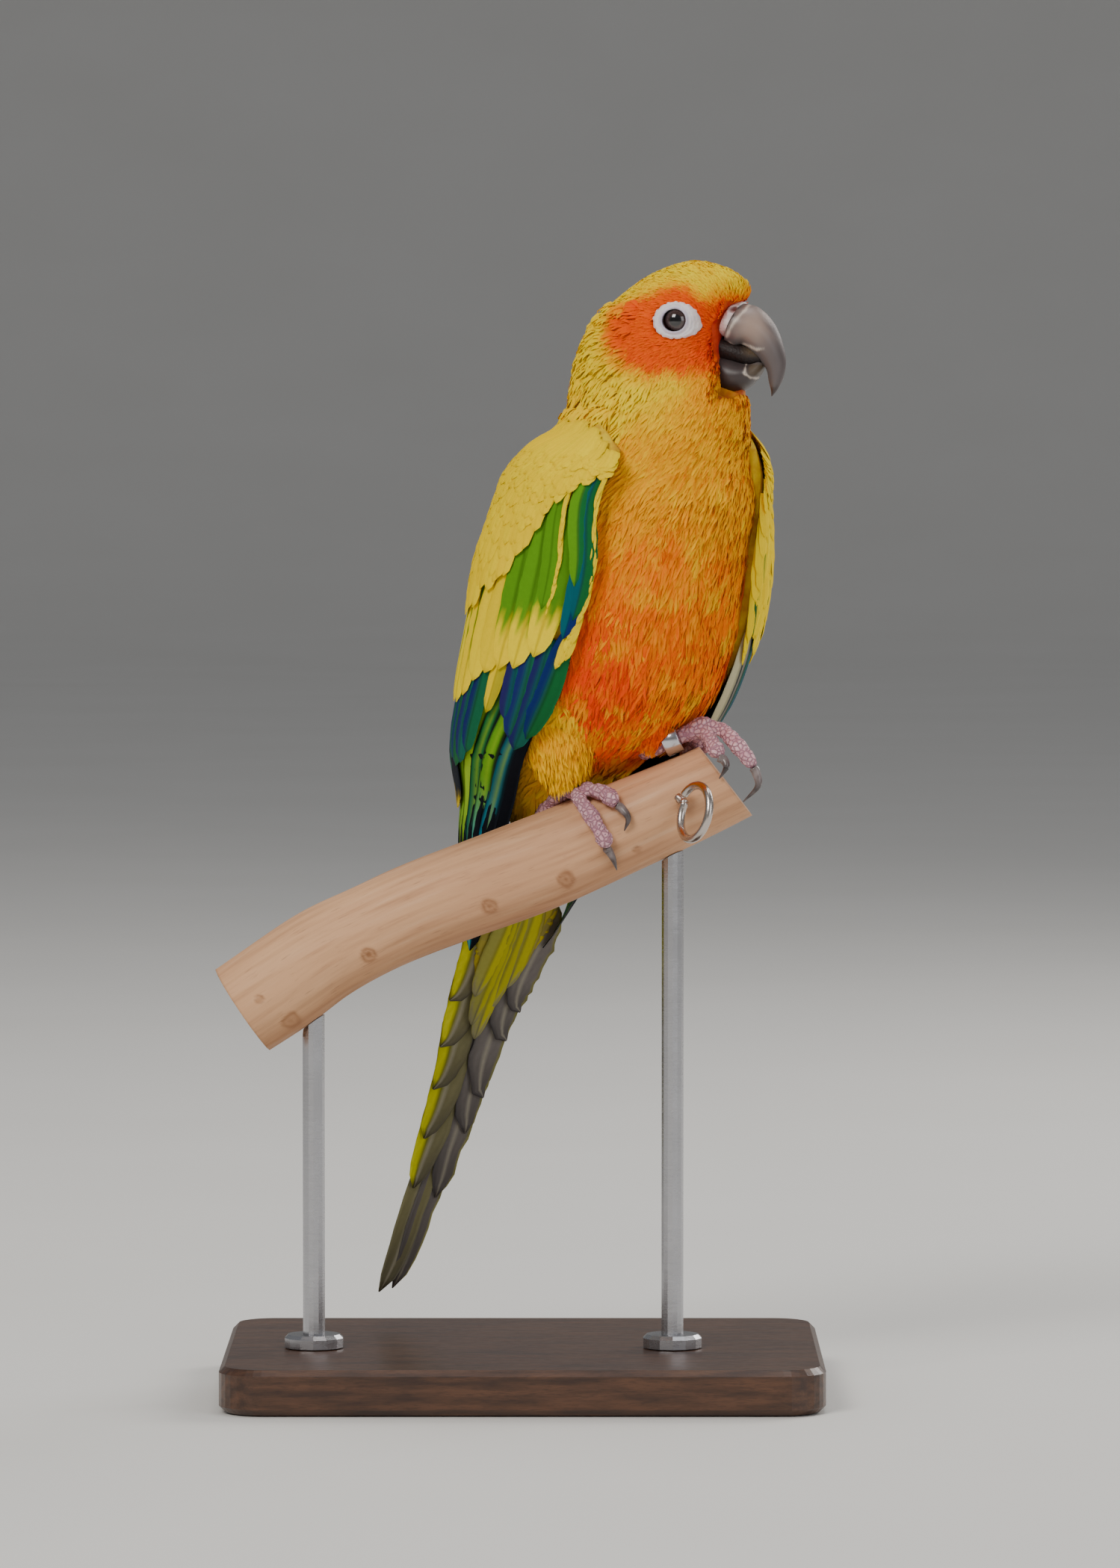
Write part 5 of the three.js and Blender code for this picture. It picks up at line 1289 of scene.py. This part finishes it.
def build_eye(side, name, material):
    centre = on_head(EYE_FORWARD, EYE_HEIGHT, side * EYE_SIDE)
    out = unit(HEAD_SIDE * side + HEAD_FACE * 0.12)
    ahead = unit(np.cross((0, 0, 1.0), out))
    up = np.cross(out, ahead)
    polar = np.concatenate([[0.004], np.linspace(0.03, 1.2, 60), np.linspace(1.3, 3.12, 20)])
    turn = round_turn(EYE_SIDES)
    radius = EYE_RADIUS * (1 + 0.055 * np.exp(-(polar / 0.62)**4))
    around = np.cos(turn)[None, :, None] * ahead + np.sin(turn)[None, :, None] * up
    rings = (centre + (radius * np.cos(polar))[:, None, None] * out
             + (radius * np.sin(polar))[:, None, None] * around)
    off = EYE_RADIUS * np.sin(polar)[:, None] * np.ones((1, EYE_SIDES))
    ray = np.sin(turn * 23)[None] * 0.4 + np.sin(turn * 41 + 2)[None] * 0.3
    light = np.clip(0.5 + 0.5 * ray, 0, 1) * (1 - ramp(off, 2.4, 2.9))
    iris = blend(srgb(40, 22, 18), srgb(74, 50, 42), light)
    color = layered(srgb(4, 4, 5), (iris, ramp(off, 1.45, 1.6)), (srgb(26, 16, 16), ramp(off, 2.6, 2.9)),
                    (srgb(150, 130, 130), ramp(off, 3.2, 3.5)))
    loft_piece(name + "_ball", rings, material, (name,), color)

    # bare ring: an almond of wrinkled skin with the lids standing round the eye
    turn = round_turn(LID_SIDES)
    share = np.concatenate([np.linspace(0, 1, 26), np.linspace(1, 0, 10)])[:, None]
    back = np.concatenate([np.zeros(26), np.ones(10)])[:, None]
    reach = 1 / np.sqrt((np.cos(turn) / np.where(np.cos(turn) > 0, 6.3, 5.7))**2 + (np.sin(turn) / 4.9)**2)
    reach += 0.6 * bell(turn - 5.85, 0.5) + 0.12 * np.sin(turn * 17) + 0.08 * np.sin(turn * 29 + 1)
    lid = 3.05 + 0.1 * np.cos(2 * turn)
    far = lid + (reach - lid) * share
    forward, height = EYE_FORWARD + far * np.cos(turn), EYE_HEIGHT + far * np.sin(turn)
    base = head_side(forward, height)
    near = bell(far - 2.95, 1.5)
    out_to = base * (1 - near) + np.maximum(EYE_SIDE + 3.25, base) * near - 0.5 * ramp(share, 0.72, 1)
    ridge = 0.42 * bell(far - 3.35, 0.34) - 0.22 * bell(far - 3.95, 0.3)
    crease = 0.1 * np.sin(far * 6.5 + 1.2 * np.sin(3 * turn)) * ramp(far, 3.8, 4.6)
    out_to = out_to + ridge + crease - back * 1.4 + 0.05
    # painted shade: the white ring is painted lilac round the raised lids, pink towards its outer edge where it
    # goes under the feathers, and darker in a thin line where the lids meet the eyeball
    shade = layered(srgb(240, 234, 234), (srgb(206, 198, 220), bell(far - 3.3, 0.5) * 0.75),
                    (srgb(228, 196, 186), ramp(share + 0 * turn, 0.7, 1.0) * 0.6),
                    (srgb(226, 214, 208), ramp(np.cos(turn)[None] * far, 3.5, 6) * 0.7))
    shade = shade * (1 - 0.35 * bell(far - 2.95, 0.16))[..., None]
    ring = closed_band(name + "_ring", on_head(forward, height, out_to * side))
    finish_piece(ring, BARE, (), shade)


EYE_GLASS = eye_material()
build_bill()
build_eye(-1, "eye_right", EYE_GLASS)
build_eye(1, "eye_left", EYE_GLASS)


# Feet, claws and leg band
def foot_material():
    m = Nodes("skin_scaled", 0.72, Subsurface_Weight=0.08, Subsurface_Scale=0.001, Specular_IOR_Level=0.3)
    cells = m.voronoi(700, "DISTANCE_TO_EDGE")
    dots = m.range(m.voronoi(700), 0.05, 0.24, 1.0, 0.0)
    soft = m.noise(260, 4)
    skin = m.mix(m.range(soft, 0.35, 0.65), srgb(238, 192, 198), srgb(218, 164, 174))
    skin = m.mix(m.range(cells, 0.02, 0.16), srgb(176, 124, 140), skin)
    color = m.mix(m.math("MULTIPLY", dots, m.color()), skin, srgb(96, 80, 100))
    relief = m.math("ADD", m.range(cells, 0.0, 0.22), m.math("MULTIPLY", soft, 0.5))
    return m.finish(color, relief, 0.75, 0.0006)


def claw_material():
    m = Nodes("horn_claw", 0.3, Specular_IOR_Level=0.5, Coat_Weight=0.3, Coat_Roughness=0.2)
    color = m.mix(m.range(m.noise(500, 3), 0.3, 0.7), m.color(), srgb(96, 84, 82))
    return m.finish(color, m.noise(900, 3), 0.15, 0.0002)


def fused(name, parts, voxel, smoothing):
    """One smooth closed surface from several overlapping tubes."""
    rough = outward(new_object(name + "_rough", *joined(parts)))
    remesh = rough.modifiers.new("remesh", "REMESH")
    remesh.mode = "VOXEL"
    remesh.voxel_size = voxel * MM
    smooth = rough.modifiers.new("smooth", "SMOOTH")
    smooth.factor = 0.5
    smooth.iterations = smoothing
    graph = bpy.context.evaluated_depsgraph_get()
    mesh = bpy.data.meshes.new_from_object(rough.evaluated_get(graph))
    obj = linked(name, mesh)
    bpy.data.objects.remove(rough)
    mesh.polygons.foreach_set("use_smooth", [True] * len(mesh.polygons))
    return obj


def push_out(obj, amount):
    """Moves the vertices of a piece along their normals; amount(places) is in mm."""
    co = np.empty(len(obj.data.vertices) * 3)
    obj.data.vertices.foreach_get("co", co)
    normal = np.array([v.normal for v in obj.data.vertices])
    p = co.reshape(-1, 3) / MM
    moved = p + normal * amount(p)[:, None]
    obj.data.vertices.foreach_set("co", (moved * MM).ravel())
    obj.data.update()
    return moved


def warts(p):
    rows = 0.10 * np.sin(p[:, 0] * 3.1 + 2 * np.sin(p[:, 2] * 1.3)) * np.sin(p[:, 2] * 4.4)
    return rows + 0.12 * ripple(p, 0.55, 2.0) - 0.05


FOOT_SKIN = foot_material()
CLAW_HORN = claw_material()
# How dark the spots are on each toe
SPOTS = {"foot_right": {"digit_3": 1.0, "digit_4": 0.6, "digit_2": 0.7, "digit_1": 0.4},
         "foot_left": {"digit_3": 0.5, "digit_2": 0.5, "digit_4": 0.3, "digit_1": 0.3}}


def build_foot(name, label):
    toes, shank = TOES[name], SHANKS[name]
    parts = [tube_rings(rounded_ends(smooth_line([LEG_ROOTS[name], *shank], 44)), 32)[0]]
    dense = {}
    for digit, (side, points, _) in toes.items():
        rows = [(x, perch_y(x, z, TOE_RADIUS + 0.1, side), z, TOE_RADIUS * (0.86 if i % 2 else 1.04))
                for i, (x, z) in enumerate(points)]
        line = smooth_line(rows, 60)
        line[:, 3] *= 1 + 0.05 * np.sin(np.linspace(0, CIRCLE * len(points), 60))
        dense[digit] = rounded_ends(line)
        parts.append(tube_rings(dense[digit], 28)[0])
    palm = np.array(shank[-2 if name == "foot_left" else -1])
    hub = palm + [(-1.6, 0, 0.2, 0.5), (0.2, -0.4, -0.3, 0.9), (2.0, 0, -0.9, 0.2)]
    parts.append(tube_rings(rounded_ends(smooth_line(hub, 20)), 28)[0])
    foot = fused(name + "_skin", parts, 0.34, 5)
    p = push_out(foot, warts)
    spots = np.zeros(len(p))
    for digit, line in dense.items():
        gap = np.linalg.norm(p[:, None] - line[None, 8::3, :3], axis=2)
        along = gap.argmin(1) / gap.shape[1]
        toe = (1 - ramp(gap.min(1), 2.4, 3.4)) * (0.35 + 0.65 * ramp(along, 0.0, 0.6))
        spots = np.maximum(spots, toe * SPOTS[name][digit])
    finish_piece(foot, FOOT_SKIN, (name,), np.repeat(spots[:, None], 3, axis=1))

    share = np.linspace(0, 1, CLAW_ROWS)
    color = layered(srgb(150, 136, 134), (srgb(52, 44, 44), ramp(share, 0.2, 0.55)),
                    (srgb(34, 28, 28), ramp(share, 0.8, 1.0)))
    for digit, (side, points, claw) in toes.items():
        # picture place, height over the perch and radius from the toe's end to the claw's tip
        stations = [(points[-1], TOE_RADIUS + 0.1, 1.2), (claw[0], TOE_RADIUS - 0.3, 1.2),
                    (claw[1], CLAW_RADIUS + 1, 0.82), (claw[-1], 0.75, 0.16)]
        rows = [(x, perch_y(x, z, lift, side), z, radius) for (x, z), lift, radius in stations]
        rings = tube_rings(smooth_line(rows, CLAW_ROWS), CLAW_SIDES)[0]
        loft_piece(f"claw_{label}_{digit}_horn", rings, CLAW_HORN, (f"claw_{label}_{digit}",),
                   np.repeat(color, CLAW_SIDES, axis=0))


def metal_material(name, color, roughness):
    m = Nodes(name, roughness, Metallic=1.0)
    brushed = m.noise(260, 4, stretch=(1.0, 1.0, 6.0))
    smear = m.noise(70, 3)
    gloss = m.range(m.math("ADD", brushed, smear), 0.6, 1.4, roughness * 0.75, roughness * 1.35)
    return m.finish(m.mix(m.range(smear, 0.3, 0.7), color * 0.86, color), brushed, 0.08, 0.0001, gloss)


def build_band():
    low, middle, high = (np.array(row[:3]) for row in SHANKS["foot_left"][:3])
    along = unit(high - low)
    centre = middle + (0, 0, 0.2)
    profile = [(3.4, -2.1), (3.5, -2.3), (3.9, -2.3), (4.05, -2.1),
               (4.05, 2.1), (3.9, 2.3), (3.5, 2.3), (3.4, 2.1)]
    across = unit(np.cross(along, (0, 0, 1.0)))
    over = np.cross(across, along)
    turn = round_turn(72)[:, None]
    around = np.cos(turn) * across + np.sin(turn) * over
    rings = np.array([centre + along * h + r * around for r, h in profile])
    finish_piece(closed_band("leg_band_ring", rings),
                 metal_material("steel_band", srgb(214, 212, 216), 0.22), ("leg_band",))


build_foot("foot_right", "right")
build_foot("foot_left", "left")
build_band()


# Perch, its screw eye and the stand. A knot: picture place, size and how proud it stands
KNOTS = [(-41.0, 118.5, 2.4, 0.5), (-61.6, 100.5, 3.4, 0.8), (-8.8, 131.4, 2.6, 0.45),
         (11.6, 138.6, 3.0, 0.5), (-70.0, 106.8, 1.5, 0.3), (30.5, 146.5, 1.4, 0.25)]
# The sawn ends are drawn in smaller and smaller rings, which carry the growth rings
END_RINGS = [0.985, 0.9, 0.7, 0.45, 0.2, 0.02]


def wood_material():
    m = Nodes("branch_wood", 0.62, Specular_IOR_Level=0.3)
    grain, broad, pores = (m.noise(scale, detail, (1.0, stretch, 1.0), "Grain")
                           for scale, detail, stretch in ((420, 6, 0.07), (60, 4, 0.16), (1500, 2, 0.12)))
    tone = m.mix(m.range(broad, 0.3, 0.7), srgb(226, 178, 134), srgb(204, 150, 112))
    tone = m.mix(m.range(grain, 0.48, 0.72, 0.0, 0.55), tone, srgb(168, 116, 80))
    tone = m.mix(m.range(grain, 0.2, 0.42, 0.5, 0.0), tone, srgb(240, 204, 166))
    tone = m.mix(m.range(pores, 0.62, 0.75, 0.0, 0.35), tone, srgb(140, 94, 66))
    relief = m.math("ADD", grain, m.math("MULTIPLY", broad, 0.8))
    return m.finish(m.mix(1.0, tone, m.color(), "MULTIPLY"), relief, 0.35, 0.0005,
                    m.range(grain, 0.3, 0.7, 0.52, 0.74))


def build_perch():
    sides, count = 120, 220
    line = smooth_line([(x, PERCH_Y, z, r) for x, z, r in PERCH_TABLE], count)
    x = line[:, :1]
    along = unit(np.gradient(line[:, :3], axis=0))
    over = np.stack([-along[:, 2], np.zeros(count), along[:, 0]], -1)
    angle = round_turn(sides) + np.pi * 1.5
    uneven = 1 + 0.012 * np.sin(3 * angle + x / 9)
    uneven = uneven + 0.006 * np.sin(7 * angle + x / 14) + 0.004 * np.sin(17 * angle - x / 6)
    reach = line[:, 3:4] * uneven - 0.12
    rings = (line[:, None, :3] + (reach * np.cos(angle))[..., None] * over[:, None]
             - (reach * np.sin(angle))[..., None] * np.array([0, 1.0, 0]))
    # slanting sawn end
    share = ramp(np.linspace(0, 1, count), 0.72, 1.0)[:, None]
    rel = rings - line[:, None, :3]
    shift = -np.sum(rel * PERCH_END_NORMAL, -1) / np.sum(along * PERCH_END_NORMAL, -1)[:, None]
    rings = rings + (shift * share)[..., None] * along[:, None]
    color = np.ones(rings.shape)
    front = rings[..., 1] < PERCH_Y
    for x, z, size, proud in KNOTS:
        gap = np.hypot(rings[..., 0] - x, rings[..., 2] - z) / size
        gap = gap + 0.18 * ripple(rings, 1.6, x)
        lump = np.where(front, bell(gap, 0.9) - 0.9 * bell(gap, 0.4), 0)
        rings = rings + (lump * proud)[..., None] * np.array([0, -1.0, 0])
        dark = np.where(front, bell(gap - 0.62, 0.2) * 0.75 + bell(gap, 0.3) * 0.9, 0)
        color = blend(color, np.array([0.42, 0.3, 0.22]), np.clip(dark, 0, 1))
    # painted shade: the wood is painted darker and redder towards the underside of the branch, from 3 mm to 13
    # mm below its centre line
    below = ramp(-(rings[..., 2] - line[:, None, 2]), 3, 13)
    hole = np.hypot(rings[..., 0] - 43.4, rings[..., 2] - 158.6)
    color = layered(color, ([0.78, 0.70, 0.66], below * 0.8),
                    ([0.5, 0.4, 0.34], np.where(front, bell(hole - 1.6, 1.2) * 0.6, 0)))
    ends = [np.array([c.mean(0) + (c - c.mean(0)) * k for k in END_RINGS]) for c in (rings[0], rings[-1])]
    extra = len(END_RINGS)
    tint = np.ones((extra, sides, 3)) * np.where(np.arange(extra) % 2, 0.86, 0.72)[:, None, None]
    perch = loft_object("perch_branch", np.concatenate([ends[0][::-1], rings, ends[1]]))
    run = np.concatenate([[0], np.cumsum(np.linalg.norm(np.diff(line[:, :3], axis=0), axis=1))])
    run = np.concatenate([np.arange(-extra, 0) * 2, run, run[-1] + np.arange(1, extra + 1) * 2])
    mirrored = np.abs((np.arange(sides) / sides * 2) - 1) * 40
    grain = np.stack(np.meshgrid(run * MM, mirrored * MM, indexing="ij"), -1)[..., ::-1]
    set_uv(perch, "Grain", grain.reshape(-1, 2))
    finish_piece(perch, wood_material(), ("perch",), np.concatenate([tint, color, tint]))


def build_screw_eye():
    centre = np.array([46, -30.4, 156.8])
    u = unit(np.array([0.42, -0.85, -0.32]))
    v = unit(np.array([0.357, -0.168, 0.917]))
    axis = np.cross(u, v)
    # the wire nearly closes on itself, then turns into the threaded shank
    t = np.linspace(math.radians(186), math.radians(186 + 340), 90)[:, None]
    loop = centre + 7.2 * (np.cos(t) * u + np.sin(t) * v)
    loop = loop + np.linspace(0, 1.3, 90)[:, None] * axis
    foot = centre - u * 7.2
    shank = np.array([foot - u * k for k in np.linspace(4.4, 0.6, 14)])
    line = smooth_line(np.column_stack([np.concatenate([shank, loop]), np.full(104, 1.12)]), 240)
    run = np.arange(240)
    line[:, 3] *= 1 + np.where(run < 24, 0.16 * np.sin(run * 2.0), 0)
    line[-4:, 3] *= [0.98, 0.9, 0.7, 0.35]
    loft_piece("perch_eye_wire", tube_rings(line, 28, (0.2, 0.9, 0.1))[0],
               metal_material("steel_screw", srgb(206, 196, 188), 0.24), ("perch_eye",))


def stand_materials():
    m = Nodes("dark_wood_base", 0.34, Coat_Weight=0.35, Coat_Roughness=0.25, Specular_IOR_Level=0.4)
    grain = m.noise(60, 7, stretch=(1.0, 9.0, 9.0))
    fine = m.noise(420, 3, stretch=(1.0, 12.0, 12.0))
    tone = m.mix(m.range(grain, 0.35, 0.65), srgb(58, 36, 24), srgb(92, 60, 40))
    tone = m.mix(m.range(fine, 0.5, 0.7, 0.0, 0.5), tone, srgb(34, 21, 15))
    relief = m.math("ADD", fine, m.math("MULTIPLY", grain, 0.4))
    wood = m.finish(tone, relief, 0.12, 0.0003, m.range(fine, 0.3, 0.7, 0.3, 0.46))
    steel = metal_material("steel_rod", srgb(196, 196, 200), 0.26)
    for node, material in (("stand_base", wood), ("stand_rod_left", steel), ("stand_rod_right", steel)):
        materials = bpy.data.objects[node].data.materials
        materials.clear()
        materials.append(material)


build_perch()
build_screw_eye()
stand_materials()


# Floor, light and camera
FLOOR_RADIUS, FLOOR_BEND, FLOOR_SIDES = 5200.0, 2400.0, 64
AIM = Vector((0.0099, -0.005, 0.1631))
SENSOR, VIEW_WIDTH, DISTANCE, VIEW_LIFT = 36, 0.4198, 2.2, math.radians(3)
# Name, place, size, power and colour
LIGHTS = [("key", (-0.9, -1.5, 1.5), 0.9, 30, (1.0, 0.97, 0.92)),
          ("fill", (1.5, -1.3, 0.7), 1.2, 9, (0.95, 0.97, 1.0)),
          ("top", (0.2, 0.3, 1.9), 1.0, 11, (1.0, 1.0, 1.0)),
          ("rim", (1.0, 0.9, 0.9), 0.7, 10, (1.0, 0.97, 0.93))]


def turned_to(obj, place, aim):
    obj.location = place
    obj.rotation_euler = (aim - Vector(place)).to_track_quat("-Z", "Y").to_euler()


def build_floor():
    """A round pale floor that turns up into a low wall far behind every view."""
    turn = np.linspace(0, math.pi / 2, 12)
    reach = np.concatenate([[1.0, 400.0, 1600.0, 3400.0], FLOOR_RADIUS + FLOOR_BEND * np.sin(turn)])[:, None]
    height = np.concatenate([np.zeros(4), FLOOR_BEND * (1 - np.cos(turn))])[:, None] - 0.4
    around = round_turn(FLOOR_SIDES)
    rings = np.stack(np.broadcast_arrays(reach * np.cos(around), reach * np.sin(around), height), -1)
    faces = quads(len(reach), FLOOR_SIDES) + [tuple(range(FLOOR_SIDES))[::-1]]
    floor = new_object("floor", rings.reshape(-1, 3), faces)
    m = Nodes("floor_pale", 0.75)
    floor.data.materials.append(m.finish(m.mix(m.noise(6, 2), srgb(226, 224, 219), srgb(232, 230, 226))))


def build_light():
    for name, place, size, power, color in LIGHTS:
        data = bpy.data.lights.new(name, "AREA")
        data.size, data.energy, data.color = size, power, color
        turned_to(linked(name, data), place, Vector((0.01, 0, 0.19)))
    world = bpy.data.worlds.new("room")
    bpy.context.scene.world = world
    world.use_nodes = True
    back = world.node_tree.nodes["Background"]
    back.inputs[0].default_value = (0.86, 0.88, 0.92, 1)
    back.inputs[1].default_value = 0.25


def build_camera():
    data = bpy.data.cameras.new("camera")
    data.sensor_fit = "AUTO"
    data.sensor_width = SENSOR
    data.clip_end = 50
    data.lens = SENSOR * DISTANCE / VIEW_WIDTH
    camera = linked("camera", data)
    turned_to(camera, AIM + Vector((0, -DISTANCE * math.cos(VIEW_LIFT), DISTANCE * math.sin(VIEW_LIFT))), AIM)
    bpy.context.scene.camera = camera


build_floor()
build_light()
build_camera()
